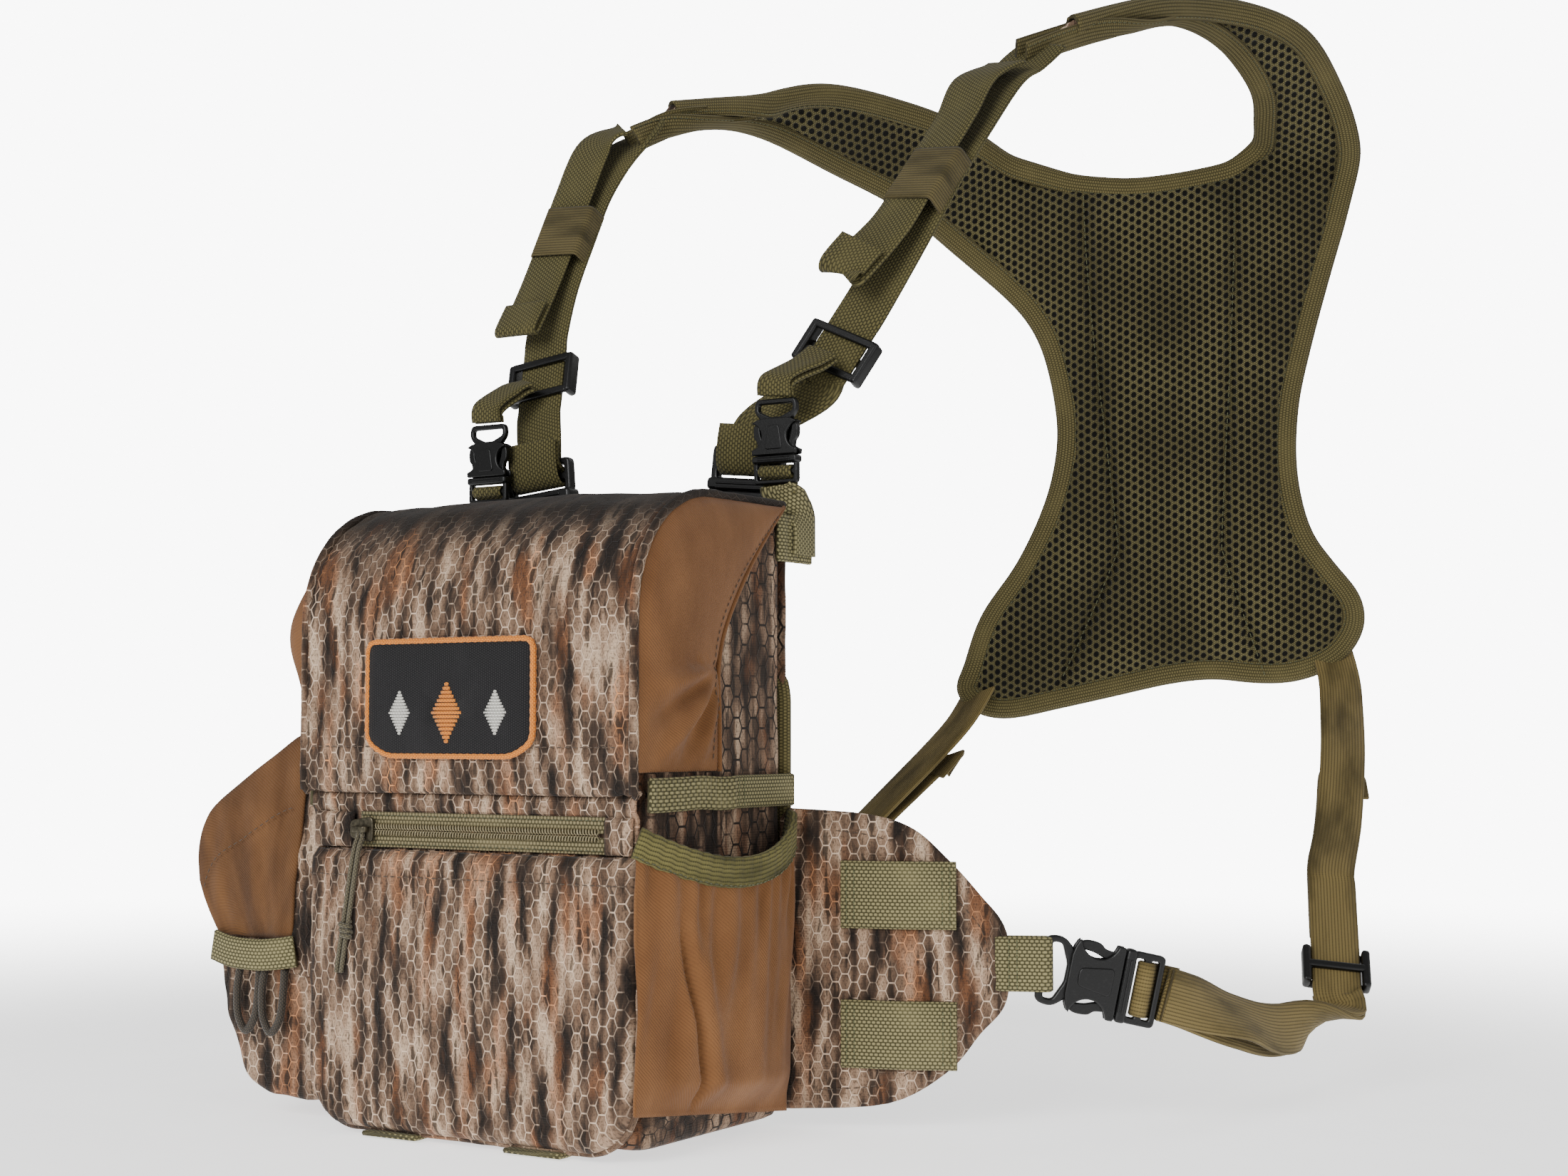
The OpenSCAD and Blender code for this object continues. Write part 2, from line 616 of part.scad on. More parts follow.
shoulder_web(web_route_right, tail_route_right);  // shoulder_web_right
shoulder_web(web_route_left, tail_route_left);  // shoulder_web_left
keeper(0);  // keeper_right
keeper(1);  // keeper_left
triglide(0);  // triglide_right
triglide(1);  // triglide_left
strap_anchor(false);  // strap_anchor_right
strap_anchor(true);  // strap_anchor_left
buckle_female(strap_buckle(1));  // strap_buckle_female_right
buckle_female(strap_buckle(-1));  // strap_buckle_female_left
pronged_male(strap_buckle(1));  // strap_buckle_male_right
pronged_male(strap_buckle(-1));  // strap_buckle_male_left
tether_web(0);  // tether_web_right
tether_web(1);  // tether_web_left
buckle_female(tether_buckle(1));  // tether_buckle_female_right
buckle_female(tether_buckle(-1));  // tether_buckle_female_left
pronged_male(tether_buckle(1));  // tether_buckle_male_right
pronged_male(tether_buckle(-1));  // tether_buckle_male_left
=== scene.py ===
import math

import bpy
import numpy as np
from mathutils import Matrix, Vector, noise
from mathutils.kdtree import KDTree


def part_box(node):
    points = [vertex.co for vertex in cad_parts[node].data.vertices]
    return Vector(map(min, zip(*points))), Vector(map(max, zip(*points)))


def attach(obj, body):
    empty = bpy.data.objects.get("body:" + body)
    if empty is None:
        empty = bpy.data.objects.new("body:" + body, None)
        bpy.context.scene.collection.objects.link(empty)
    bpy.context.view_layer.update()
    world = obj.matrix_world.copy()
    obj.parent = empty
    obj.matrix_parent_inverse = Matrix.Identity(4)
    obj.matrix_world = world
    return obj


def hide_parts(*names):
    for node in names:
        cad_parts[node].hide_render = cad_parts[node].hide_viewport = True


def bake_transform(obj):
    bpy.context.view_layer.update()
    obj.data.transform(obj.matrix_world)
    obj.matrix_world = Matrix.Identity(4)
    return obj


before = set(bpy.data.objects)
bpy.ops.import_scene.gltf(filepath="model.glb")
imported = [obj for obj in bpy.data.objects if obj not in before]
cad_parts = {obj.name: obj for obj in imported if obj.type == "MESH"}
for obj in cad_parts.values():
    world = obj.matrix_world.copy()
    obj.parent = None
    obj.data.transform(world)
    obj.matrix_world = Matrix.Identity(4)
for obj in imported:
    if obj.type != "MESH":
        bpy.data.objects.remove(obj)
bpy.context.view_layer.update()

# The looks of a binocular harness pack. Lengths in this file are millimetres, unless a
# name or a call says metres; MM turns them into metres.
MM = 0.001
CLOTH_UV = "cloth"      # the UV map of every woven piece, in millimetres on the cloth
RIGHT, LEFT = 1, -1     # as seen from in front


# ---- Camera, light and floor ----
def make_camera():
    data = bpy.data.cameras.new("camera")
    data.lens = 52
    data.sensor_width = 36
    camera = bpy.data.objects.new("camera", data)
    camera.location = (0.525, -0.727, 0.022)
    camera.rotation_euler = (math.radians(93.6), 0, math.radians(32))
    bpy.context.scene.collection.objects.link(camera)
    bpy.context.scene.camera = camera


def make_light(name, place, target, size, watts):
    data = bpy.data.lights.new(name, "AREA")
    data.size = size
    data.energy = watts
    light = bpy.data.objects.new(name, data)
    light.location = place
    light.rotation_euler = (Vector(target) - Vector(place)).to_track_quat("-Z", "Y").to_euler()
    bpy.context.scene.collection.objects.link(light)


def make_studio():
    middle = (0.02, 0.1, 0.1)
    make_light("key", (0.05, -1.7, 0.75), middle, 1.0, 30)
    make_light("fill", (1.7, -0.5, 0.5), middle, 1.3, 9)
    make_light("rim", (0.6, 1.7, 1.3), middle, 1.2, 7)
    world = bpy.data.worlds.new("studio")
    world.use_nodes = True
    nodes, links = world.node_tree.nodes, world.node_tree.links
    nodes["Background"].inputs[0].default_value = (1, 1, 1, 1)
    backdrop = nodes.new("ShaderNodeMapRange")
    backdrop.inputs[3].default_value = 0.42
    backdrop.inputs[4].default_value = 9
    links.new(nodes.new("ShaderNodeLightPath").outputs["Is Camera Ray"], backdrop.inputs[0])
    links.new(backdrop.outputs[0], nodes["Background"].inputs[1])
    bpy.context.scene.world = world
    make_floor()


def make_floor():
    """A pale paper disc that fades out into the white backdrop."""
    graph = Graph("floor_paper", 0.9, Emission_Strength=1.2, Specular_IOR_Level=0.1)
    graph.shader.inputs["Emission Color"].default_value = (1, 1, 1, 1)
    mottle = graph.noise(graph.place(40), 1, 4)
    graph.colour(graph.ramp(mottle, [(0.3, (240, 240, 239)), (0.7, (246, 246, 245))]))
    away = graph.vector("LENGTH", graph.place(1))
    graph.put(graph.smoothstep(away, 1.3, 0.35), graph.shader.inputs["Alpha"])
    radius = 1400
    turns = [2 * math.pi * k / 64 for k in range(64)]
    rim = [(radius * math.cos(a), radius * math.sin(a), FLOOR) for a in turns]
    shape = Shape()
    shape.polygon(rim)
    shape.make("floor", graph.mat)


# ---- Vectors and curves ----
def unit(v):
    v = np.asarray(v, float)
    return v / np.maximum(np.linalg.norm(v, axis=-1, keepdims=True), 1e-9)


def spline(points, n):
    """A smooth curve through points, with n steps from each to the next."""
    p = np.asarray(points, float)
    last = len(p) - 1
    out = []
    for i in range(last):
        a, b, c, d = p[max(i - 1, 0)], p[i], p[i + 1], p[min(i + 2, last)]
        for t in np.arange(n) / n:
            out.append(0.5 * (2 * b + (c - a) * t + (2 * a - 5 * b + 4 * c - d) * t**2
                              + (3 * b - a - 3 * c + d) * t**3))
    return np.array(out + [p[-1]])


def lengths(points):
    """How far along the polyline each of its points is."""
    steps = np.linalg.norm(np.diff(points, axis=0), axis=-1)
    return np.concatenate([[0], np.cumsum(steps)])


def resample(points, count):
    """The same polyline with evenly spaced points."""
    points = np.asarray(points, float)
    at = lengths(points)
    goal = np.linspace(0, at[-1], count)
    return np.stack([np.interp(goal, at, points[:, k]) for k in range(points.shape[1])], axis=1)


def smooth(x):
    x = np.clip(x, 0, 1)
    return x * x * (3 - 2 * x)


def wobble(p, size, seed=0.0):
    """Smooth noise from -1 to 1 with features of about this size."""
    return noise.noise(Vector((p[0] / size + seed, p[1] / size, p[2] / size)))


def mirrored(points, side):
    return np.asarray(points, float) * (side, 1, 1)


# ---- Meshes ----
class Shape:
    """Points, faces and cloth coordinates in millimetres, gathered into one mesh."""

    def __init__(self):
        self.points = []
        self.faces = []
        self.uvs = []
        self.slots = []

    def face(self, corners, uvs, slot=0):
        self.faces.append(corners)
        self.uvs.append(uvs)
        self.slots.append(slot)

    def polygon(self, ring, uvs=None, slot=0):
        first = len(self.points)
        self.points.extend(ring)
        self.face(range(first, first + len(ring)), uvs or [(p[0], p[1]) for p in ring], slot)

    def grid(self, points, uv, wrap=False, ends=False, slot=0):
        """Rows of points. uv has one more column than points where the rows close up."""
        points = np.asarray(points, float)
        rows, cols = points.shape[:2]
        first = len(self.points)
        self.points.extend(points.reshape(-1, 3))
        for i in range(rows - 1):
            a = first + i * cols
            for j in range(cols if wrap else cols - 1):
                k = (j + 1) % cols
                self.face((a + j, a + k, a + cols + k, a + cols + j),
                          (uv[i][j], uv[i][j + 1], uv[i + 1][j + 1], uv[i + 1][j]), slot)
        if ends:
            last = first + (rows - 1) * cols
            self.face(range(first + cols - 1, first - 1, -1), list(uv[0][:cols])[::-1], slot)
            self.face(range(last, last + cols), list(uv[-1][:cols]), slot)

    def sweep(self, centre, side, normal, section, slot=0, ends=True):
        """Carries a closed section of (across, outwards) points along a centre line."""
        section = np.asarray(section, float)
        around = lengths(np.vstack([section, section[:1]]))
        points = (centre[:, None] + side[:, None] * section[None, :, :1]
                  + normal[:, None] * section[None, :, 1:2])
        uv = [[(u, v) for u in around] for v in lengths(centre)]
        self.grid(points, uv, wrap=True, ends=ends, slot=slot)

    def tube(self, centre, radius, sides=8, ends=True):
        """A round tube, with a radius or one radius for each point."""
        centre = np.asarray(centre, float)
        along = unit(np.gradient(centre, axis=0))
        side = unit(np.cross(along, (0.13, 1, 0.07)))
        normal = np.cross(along, side)
        radius = np.broadcast_to(radius, len(centre))[:, None, None]
        turn = np.arange(sides) * 2 * math.pi / sides
        ring = (side[:, None] * np.cos(turn)[None, :, None]
                + normal[:, None] * np.sin(turn)[None, :, None])
        around = np.arange(sides + 1) * 2 * math.pi / sides * radius[0, 0, 0]
        uv = [[(u, v) for u in around] for v in lengths(centre)]
        self.grid(centre[:, None] + radius * ring, uv, wrap=True, ends=ends)

    def make(self, name, *materials):
        mesh = bpy.data.meshes.new(name)
        mesh.from_pydata([tuple(p) for p in np.asarray(self.points) * MM], [], self.faces)
        layer = mesh.uv_layers.new(name=CLOTH_UV)
        layer.data.foreach_set("uv", np.array([c for f in self.uvs for c in f], float).ravel())
        mesh.polygons.foreach_set("material_index", self.slots)
        mesh.shade_smooth()
        for material in materials:
            mesh.materials.append(material)
        made = bpy.data.objects.new(name, mesh)
        bpy.context.scene.collection.objects.link(made)
        return made


def band_section(width, thick):
    """The section of webbing: flat, with rounded selvages."""
    half, lift = width / 2, thick / 2
    top = [(-half, 0), (-half + 0.5, lift), (-width / 4, lift), (0, lift), (width / 4, lift),
           (half - 0.5, lift), (half, 0)]
    return top + [(a, -b) for a, b in top[-2:0:-1]]


def route_frames(route, n):
    """Centre, side and normal at each step of a route of (point, side direction) pairs."""
    centre = spline([r[0] for r in route], n)
    side = spline([unit(r[1]) for r in route], n)
    along = unit(np.gradient(centre, axis=0))
    side = unit(side - np.sum(side * along, axis=1)[:, None] * along)
    return centre, side, np.cross(along, side)


def thicken(piece, amount, offset=-1.0, inner_slot=0):
    """Gives a sheet its thickness, inwards from its drawn face."""
    modifier = piece.modifiers.new("thickness", "SOLIDIFY")
    modifier.thickness = amount * MM
    modifier.offset = offset
    modifier.material_offset = inner_slot
    modifier.use_even_offset = False


def subdivide(piece, levels=1):
    modifier = piece.modifiers.new("subdivision", "SUBSURF")
    modifier.levels = levels
    modifier.render_levels = levels


def apply_modifiers(piece):
    graph = bpy.context.evaluated_depsgraph_get()
    mesh = bpy.data.meshes.new_from_object(piece.evaluated_get(graph), depsgraph=graph)
    piece.modifiers.clear()
    piece.data = mesh


def coordinates(piece):
    """The mesh's points in millimetres, as an array."""
    return np.array([v.co for v in piece.data.vertices], float).reshape(-1, 3) / MM


def set_coordinates(piece, points):
    piece.data.vertices.foreach_set("co", (np.asarray(points) * MM).astype(np.float32).ravel())
    piece.data.update()


def lay_cloth(piece, across, up=(0, 0, 1)):
    """Gives a remeshed piece cloth coordinates, by its place along two directions."""
    points = coordinates(piece)
    flat = np.stack([points @ unit(across), points @ unit(up)], axis=1)
    layer = piece.data.uv_layers.get(CLOTH_UV) or piece.data.uv_layers.new(name=CLOTH_UV)
    corners = np.zeros(len(piece.data.loops), int)
    piece.data.loops.foreach_get("vertex_index", corners)
    layer.data.foreach_set("uv", flat[corners].ravel())


def remesh(piece, voxel):
    modifier = piece.modifiers.new("remesh", "REMESH")
    modifier.mode = "VOXEL"
    modifier.voxel_size = voxel * MM
    apply_modifiers(piece)
    relax = piece.modifiers.new("relax", "SMOOTH")
    relax.iterations = 4
    apply_modifiers(piece)
    piece.data.shade_smooth()


def puff(piece, pressure, cap, steps=20):
    """Fills a closed piece like a stuffed bag, by a cloth simulation. Points move by cap at most."""
    before = coordinates(piece)
    scene = bpy.context.scene
    cloth = piece.modifiers.new("cloth", "CLOTH")
    cloth.settings.use_pressure = True
    cloth.settings.uniform_pressure_force = pressure
    cloth.settings.tension_stiffness = 12
    cloth.settings.compression_stiffness = 12
    cloth.settings.bending_stiffness = 0.6
    cloth.settings.effector_weights.gravity = 0
    cloth.point_cache.frame_start = 1
    cloth.point_cache.frame_end = steps
    for step in range(1, steps + 1):
        scene.frame_set(step)
    apply_modifiers(piece)
    scene.frame_set(1)
    move = coordinates(piece) - before
    size = np.linalg.norm(move, axis=1, keepdims=True)
    set_coordinates(piece, before + move * np.minimum(1, cap / np.maximum(size, 1e-6)))


def stitches(name, path, material, pitch=3.2, length=2.3, thick=0.5):
    """A row of sewn thread along a path of points."""
    total = lengths(path)[-1]
    spots = resample(path, max(3, int(total / pitch) * 2 + 1))
    shape = Shape()
    for k in range(1, len(spots) - 1, 2):
        along = unit(spots[k + 1] - spots[k - 1])
        ends = [spots[k] + along * length * f for f in (-0.5, -0.3, 0, 0.3, 0.5)]
        shape.tube(ends, np.array([0.25, 0.85, 1, 0.85, 0.25]) * thick / 2, sides=5)
    return shape.make(name, material)


def moulded(outlines, low, high, bevel=0.5):
    """A mesh in millimetres of flat outlines, holes among them, with rounded edges."""
    curve = bpy.data.curves.new("outline", "CURVE")
    curve.dimensions = "2D"
    curve.fill_mode = "BOTH"
    curve.extrude = (high - low) / 2 - bevel
    curve.bevel_depth = bevel
    curve.bevel_resolution = 2
    curve.offset = -bevel
    for outline in outlines:
        line = curve.splines.new("POLY")
        line.points.add(len(outline) - 1)
        line.points.foreach_set("co", np.array([(x, y, 0, 1) for x, y in outline], float).ravel())
        line.use_cyclic_u = True
    holder = bpy.data.objects.new("outline", curve)
    mesh = bpy.data.meshes.new_from_object(holder)
    mesh.transform(Matrix.Translation((0, 0, (high + low) / 2)))
    bpy.data.objects.remove(holder)
    return mesh


def rounded(corners, radius, steps=5):
    """The outline through corners, each rounded by radius (or by its own third number)."""
    out = []
    count = len(corners)
    for k in range(count):
        here = np.array(corners[k][:2], float)
        r = corners[k][2] if len(corners[k]) > 2 else radius
        to_last = np.array(corners[k - 1][:2], float) - here
        to_next = np.array(corners[(k + 1) % count][:2], float) - here
        reach = min(r, np.linalg.norm(to_last) * 0.48, np.linalg.norm(to_next) * 0.48)
        a, b = here + unit(to_last) * reach, here + unit(to_next) * reach
        for t in np.linspace(0, 1, steps):
            out.append((1 - t) ** 2 * a + 2 * t * (1 - t) * here + t * t * b)
    return out


def rectangle(x0, x1, y0, y1, radius):
    return rounded([(x0, y0), (x1, y0), (x1, y1), (x0, y1)], radius)


def placed(name, meshes, matrix, material):
    """Joins meshes drawn in a local frame of millimetres into one object at its place."""
    shape = Shape()
    for mesh in meshes:
        first = len(shape.points)
        shape.points.extend(np.array(matrix @ v.co) for v in mesh.vertices)
        for face in mesh.polygons:
            corners = [first + i for i in face.vertices]
            shape.face(corners, [tuple(mesh.vertices[i].co[:2]) for i in face.vertices])
    made = shape.make(name, material)
    made.data.polygons.foreach_set("use_smooth", [False] * len(made.data.polygons))
    made.data.shade_smooth()
    made.data.set_sharp_from_angle(angle=math.radians(35))
    return made


def place_matrix(point, along, side, scale=1.0):
    """Local X along one direction and local Y near another, in millimetres."""
    x = unit(along)
    side = np.asarray(side, float)
    y = unit(side - (side @ x) * x)
    z = np.cross(x, y)
    axes = np.stack([x * scale, y * scale, z * scale, point], axis=1)
    return Matrix([*[tuple(row) for row in axes], (0, 0, 0, 1)])


# ---- Materials ----
def linear(colour):
    """An sRGB colour from 0 to 255 as the linear one that shaders use."""
    return tuple((c / 255 / 12.92) if c < 11 else ((c / 255 + 0.055) / 1.055) ** 2.4
                 for c in colour) + (1,)


class Graph:
    """A material's node tree, with short calls for the nodes that the materials here use."""

    def __init__(self, name, roughness, **uniform):
        self.mat = bpy.data.materials.new(name)
        self.mat.use_nodes = True
        self.tree = self.mat.node_tree
        self.shader = self.tree.nodes["Principled BSDF"]
        self.shader.inputs["Roughness"].default_value = roughness
        for key, value in uniform.items():
            self.shader.inputs[key.replace("_", " ")].default_value = value
        self.uv = self.node("ShaderNodeUVMap", uv_map=CLOTH_UV).outputs[0]

    def node(self, kind, **settings):
        made = self.tree.nodes.new(kind)
        for key, value in settings.items():
            setattr(made, key, value)
        return made

    def put(self, value, socket):
        if isinstance(value, bpy.types.NodeSocket):
            self.tree.links.new(value, socket)
        else:
            socket.default_value = value

    def math(self, operation, *values):
        made = self.node("ShaderNodeMath", operation=operation)
        for value, socket in zip(values, made.inputs):
            self.put(value, socket)
        return made.outputs[0]

    def vector(self, operation, *values):
        made = self.node("ShaderNodeVectorMath", operation=operation)
        for value, socket in zip(values, made.inputs):
            self.put(value, socket)
        return made.outputs["Value" if operation in ("LENGTH", "DOT_PRODUCT") else "Vector"]

    def parts(self, value):
        made = self.node("ShaderNodeSeparateXYZ")
        self.put(value, made.inputs[0])
        return made.outputs

    def cloth(self, across, along):
        """The cloth's coordinates, with this many units to a millimetre."""
        return self.vector("MULTIPLY", self.uv, (across, along, 1))

    def place(self, units):
        """The piece's own coordinates, with this many units to a metre."""
        where = self.node("ShaderNodeTexCoord").outputs["Object"]
        return self.vector("MULTIPLY", where, (units, units, units))

    def noise(self, where, scale=1.0, detail=3.0):
        made = self.node("ShaderNodeTexNoise")
        self.put(where, made.inputs["Vector"])
        made.inputs["Scale"].default_value = scale
        made.inputs["Detail"].default_value = detail
        return made.outputs[0]

    def ramp(self, factor, stops):
        made = self.node("ShaderNodeValToRGB")
        self.put(factor, made.inputs[0])
        elements = made.color_ramp.elements
        while len(elements) < len(stops):
            elements.new(0.5)
        for element, (at, colour) in zip(elements, stops):
            element.position = at
            element.color = linear(colour)
        return made.outputs[0]

    def mix(self, factor, a, b, blend="MIX"):
        made = self.node("ShaderNodeMix", data_type="RGBA", blend_type=blend)
        self.put(factor, made.inputs[0])
        self.put(a if isinstance(a, bpy.types.NodeSocket) else linear(a), made.inputs[6])
        self.put(b if isinstance(b, bpy.types.NodeSocket) else linear(b), made.inputs[7])
        return made.outputs[2]

    def stripes(self, value, pitch):
        """A rounded rib at each pitch: 0 between the ribs and 1 on top of them."""
        share = self.math("FRACT", self.math("DIVIDE", value, pitch))
        return self.math("SINE", self.math("MULTIPLY", share, math.pi))

    def weave(self, pitch_across, pitch_along):
        """The lumps of a plain weave, with each column shifted by half a lump."""
        u, v, _ = self.parts(self.uv)
        column = self.math("FLOOR", self.math("DIVIDE", u, pitch_across))
        shifted = self.math("ADD", v, self.math("MULTIPLY", column, pitch_along / 2))
        return self.math("MULTIPLY", self.stripes(u, pitch_across),
                         self.stripes(shifted, pitch_along))

    def cell(self, wide, tall):
        """A point's place within its cell of a staggered lattice, cells about 1 tall."""
        p = self.vector("MULTIPLY", self.uv, (1.732 / wide, 1 / tall, 0))
        top, low = (0.866, 0.5, 1), (-0.866, -0.5, -1)
        a = self.vector("WRAP", p, top, low)
        b = self.vector("WRAP", self.vector("ADD", p, (0.866, 0.5, 0)), top, low)
        nearer = self.math("GREATER_THAN", self.vector("LENGTH", a), self.vector("LENGTH", b))
        made = self.node("ShaderNodeMix", data_type="VECTOR")
        self.put(nearer, made.inputs[0])
        self.put(a, made.inputs[4])
        self.put(b, made.inputs[5])
        return made.outputs[1]

    def smoothstep(self, value, low, high):
        made = self.node("ShaderNodeMapRange", interpolation_type="SMOOTHSTEP")
        self.put(value, made.inputs[0])
        made.inputs[1].default_value = low
        made.inputs[2].default_value = high
        return made.outputs[0]

    def hex_lines(self, wide, tall, width):
        """1 on the lines of a hexagonal ripstop grid, and 0 inside its cells."""
        x, y, _ = self.parts(self.vector("ABSOLUTE", self.cell(wide, tall)))
        slant = self.math("ADD", self.math("MULTIPLY", x, 0.866), self.math("MULTIPLY", y, 0.5))
        edge = self.math("MAXIMUM", slant, y)
        return self.smoothstep(edge, 0.5 - width, 0.5 - width * 0.35)

    def colour(self, value):
        self.put(value, self.shader.inputs["Base Color"])

    def relief(self, height, depth):
        """Bump of this depth in millimetres."""
        bump = self.node("ShaderNodeBump")
        bump.inputs["Distance"].default_value = depth * MM
        self.put(height, bump.inputs["Height"])
        self.put(bump.outputs[0], self.shader.inputs["Normal"])


def camo_cloth(name, wide=7.0, tall=5.9, line=(222, 194, 168), accent=(214, 150, 104),
               strength=0.62, shade=0.0, crown=0.0):
    """Printed ripstop: upright streaks of bark under a raised hexagonal grid. crown paints shade over
    the piece's top, darkening it above 80 mm high.
    """
    g = Graph(name, 0.85, Sheen_Weight=0.05, Specular_IOR_Level=0.2)
    drift = g.vector("MULTIPLY", g.noise(g.cloth(0.09, 0.05), 1, 2), (0.5, 0, 0))
    bark = g.noise(g.vector("ADD", g.cloth(0.15, 0.03), drift), 1, 7)
    ground = g.ramp(bark, [(0.36, (24, 18, 14)), (0.42, (56, 43, 34)), (0.47, (86, 67, 53)),
                           (0.52, (114, 91, 73)), (0.57, (146, 120, 98)), (0.65, (184, 158, 132))])
    rust = g.smoothstep(g.noise(g.cloth(0.075, 0.02), 1, 3), 0.52, 0.64)
    ground = g.mix(g.math("MULTIPLY", rust, 0.5), ground, (132, 84, 52))
    crack = g.smoothstep(g.noise(g.vector("ADD", g.cloth(0.34, 0.06), (7, 3, 0)), 1, 4), 0.55, 0.63)
    ground = g.mix(g.math("MULTIPLY", crack, 0.8), ground, (22, 17, 13))
    speck = g.noise(g.cloth(1.9, 0.9), 1, 3)
    ground = g.mix(g.math("MULTIPLY", g.smoothstep(speck, 0.47, 0.66), 0.65), ground, (46, 36, 29))
    lines = g.hex_lines(wide, tall, 0.07)
    fade = g.smoothstep(g.noise(g.cloth(0.06, 0.05), 1, 2), 0.3, 0.6)
    fade = g.math("MULTIPLY", g.math("ADD", fade, 0.3), g.smoothstep(bark, 0.36, 0.54))
    ink = g.mix(rust, line, accent)
    share = g.math("MULTIPLY", g.math("MULTIPLY", lines, strength), fade)
    ground = g.mix(share, ground, ink)
    # Painted shade: crown darkens the top of the piece, from 80 mm to 102 mm high, towards near black.
    height = g.parts(g.place(1000))[2]
    dark = g.math("MULTIPLY", g.smoothstep(height, 80, 102), crown)
    g.colour(g.mix(g.math("ADD", dark, shade), ground, (26, 20, 15)))
    _, v, _ = g.parts(g.uv)
    rib = g.math("MULTIPLY", g.stripes(v, 0.9), 0.3)
    pucker = g.noise(g.cloth(0.05, 0.03), 1, 2)
    g.relief(g.math("ADD", g.math("ADD", rib, lines), g.math("MULTIPLY", pucker, 3)), 0.3)
    return g.mat


def twill_cloth(name="stretch_twill", low=(104, 69, 40), high=(130, 90, 56)):
    g = Graph(name, 0.9, Sheen_Weight=0.08, Specular_IOR_Level=0.15)
    u, v, _ = g.parts(g.uv)
    slant = g.stripes(g.math("ADD", u, v), 1.3)
    shade = g.noise(g.cloth(0.05, 0.03), 1, 3)
    base = g.ramp(shade, [(0.3, low), (0.7, high)])
    g.colour(g.mix(g.math("MULTIPLY", slant, 0.35), g.mix(0.25, base, (70, 42, 20)), base))
    g.relief(slant, 0.16)
    return g.mat


def woven(name, low, high, across, along, depth, sheen=0.05):
    """Webbing, binding or tape: a plain weave between two shades."""
    g = Graph(name, 0.8, Sheen_Weight=sheen, Specular_IOR_Level=0.2)
    lump = g.weave(across, along)
    tone = g.ramp(lump, [(0.1, low), (0.75, high)])
    wear = g.smoothstep(g.noise(g.cloth(0.05, 0.03), 1, 4), 0.45, 0.7)
    g.colour(g.mix(g.math("MULTIPLY", wear, 0.3), tone, high))
    g.relief(lump, depth)
    return g.mat


def ribbed(name, low, high, pitch, depth):
    """Elastic, with ribs along its length."""
    g = Graph(name, 0.8, Sheen_Weight=0.05, Specular_IOR_Level=0.2)
    u, v, _ = g.parts(g.uv)
    rib = g.stripes(u, pitch)
    pick = g.stripes(v, 0.8)
    height = g.math("ADD", rib, g.math("MULTIPLY", pick, 0.35))
    tone = g.ramp(height, [(0.2, low), (1.1, high)])
    shade = g.noise(g.cloth(0.08, 0.02), 1, 3)
    g.colour(g.mix(g.smoothstep(shade, 0.4, 0.7), tone, low))
    g.relief(height, depth)
    return g.mat


def spacer_mesh():
    """Air mesh: staggered round holes between knitted threads; the holes are painted near black as the
    shade inside them.
    """
    g = Graph("spacer_mesh", 0.9, Sheen_Weight=0.05, Specular_IOR_Level=0.15)
    away = g.vector("LENGTH", g.cell(6.4, 3.9))
    hole = g.smoothstep(away, 0.4, 0.27)
    knit = g.weave(0.8, 0.9)
    thread = g.ramp(knit, [(0.1, (60, 55, 35)), (0.8, (112, 105, 70))])
    patch = g.smoothstep(g.noise(g.cloth(0.02, 0.015), 1, 3), 0.35, 0.65)
    thread = g.mix(g.math("MULTIPLY", patch, 0.45), thread, (38, 33, 18))
    # Painted shade: the holes are coloured near black for the shade within them.
    g.colour(g.mix(hole, thread, (8, 7, 4)))
    g.relief(g.math("SUBTRACT", g.math("MULTIPLY", knit, 0.2), hole), 0.8)
    return g.mat


def plastic(name, dark, light, roughness):
    """Moulded nylon: nearly even, with a faint orange peel and scuffs."""
    g = Graph(name, roughness, Specular_IOR_Level=0.35)
    scuff = g.smoothstep(g.noise(g.place(900), 1, 5), 0.55, 0.75)
    g.colour(g.mix(g.math("MULTIPLY", scuff, 0.5), dark, light))
    g.relief(g.noise(g.place(2600), 1, 2), 0.05)
    return g.mat


def braided(name, low, high):
    g = Graph(name, 0.7, Sheen_Weight=0.15, Sheen_Roughness=0.4)
    lump = g.weave(0.7, 1.3)
    g.colour(g.ramp(lump, [(0.1, low), (0.7, high)]))
    g.relief(lump, 0.2)
    return g.mat


def metal(name, low, high):
    g = Graph(name, 0.38, Metallic=0.85)
    g.colour(g.ramp(g.noise(g.place(700), 1, 4), [(0.35, low), (0.65, high)]))
    g.relief(g.noise(g.place(1800), 1, 3), 0.03)
    return g.mat


def soft_foam():
    g = Graph("foam", 0.95)
    cell = g.noise(g.place(900), 1, 2)
    g.colour(g.ramp(cell, [(0.35, (52, 52, 54)), (0.65, (78, 78, 80))]))
    g.relief(cell, 0.4)
    return g.mat


# ---- Measures shared by the pieces ----
FLOOR = -125
HALF = 75                # half of the pouch's width
LID_HALF = 76
LID_FRONT = -104
LID_TOP = 107
LID_R = 45               # radius of the lid's front crown
SHELL_FRONT = -97
BASE = -122
ZIP_Z = -14
ZIP_X = (-50, 61)        # the two ends of the zip's tape
WING_TURN = math.radians(20)
WING_Z = -63

MATERIALS = {}


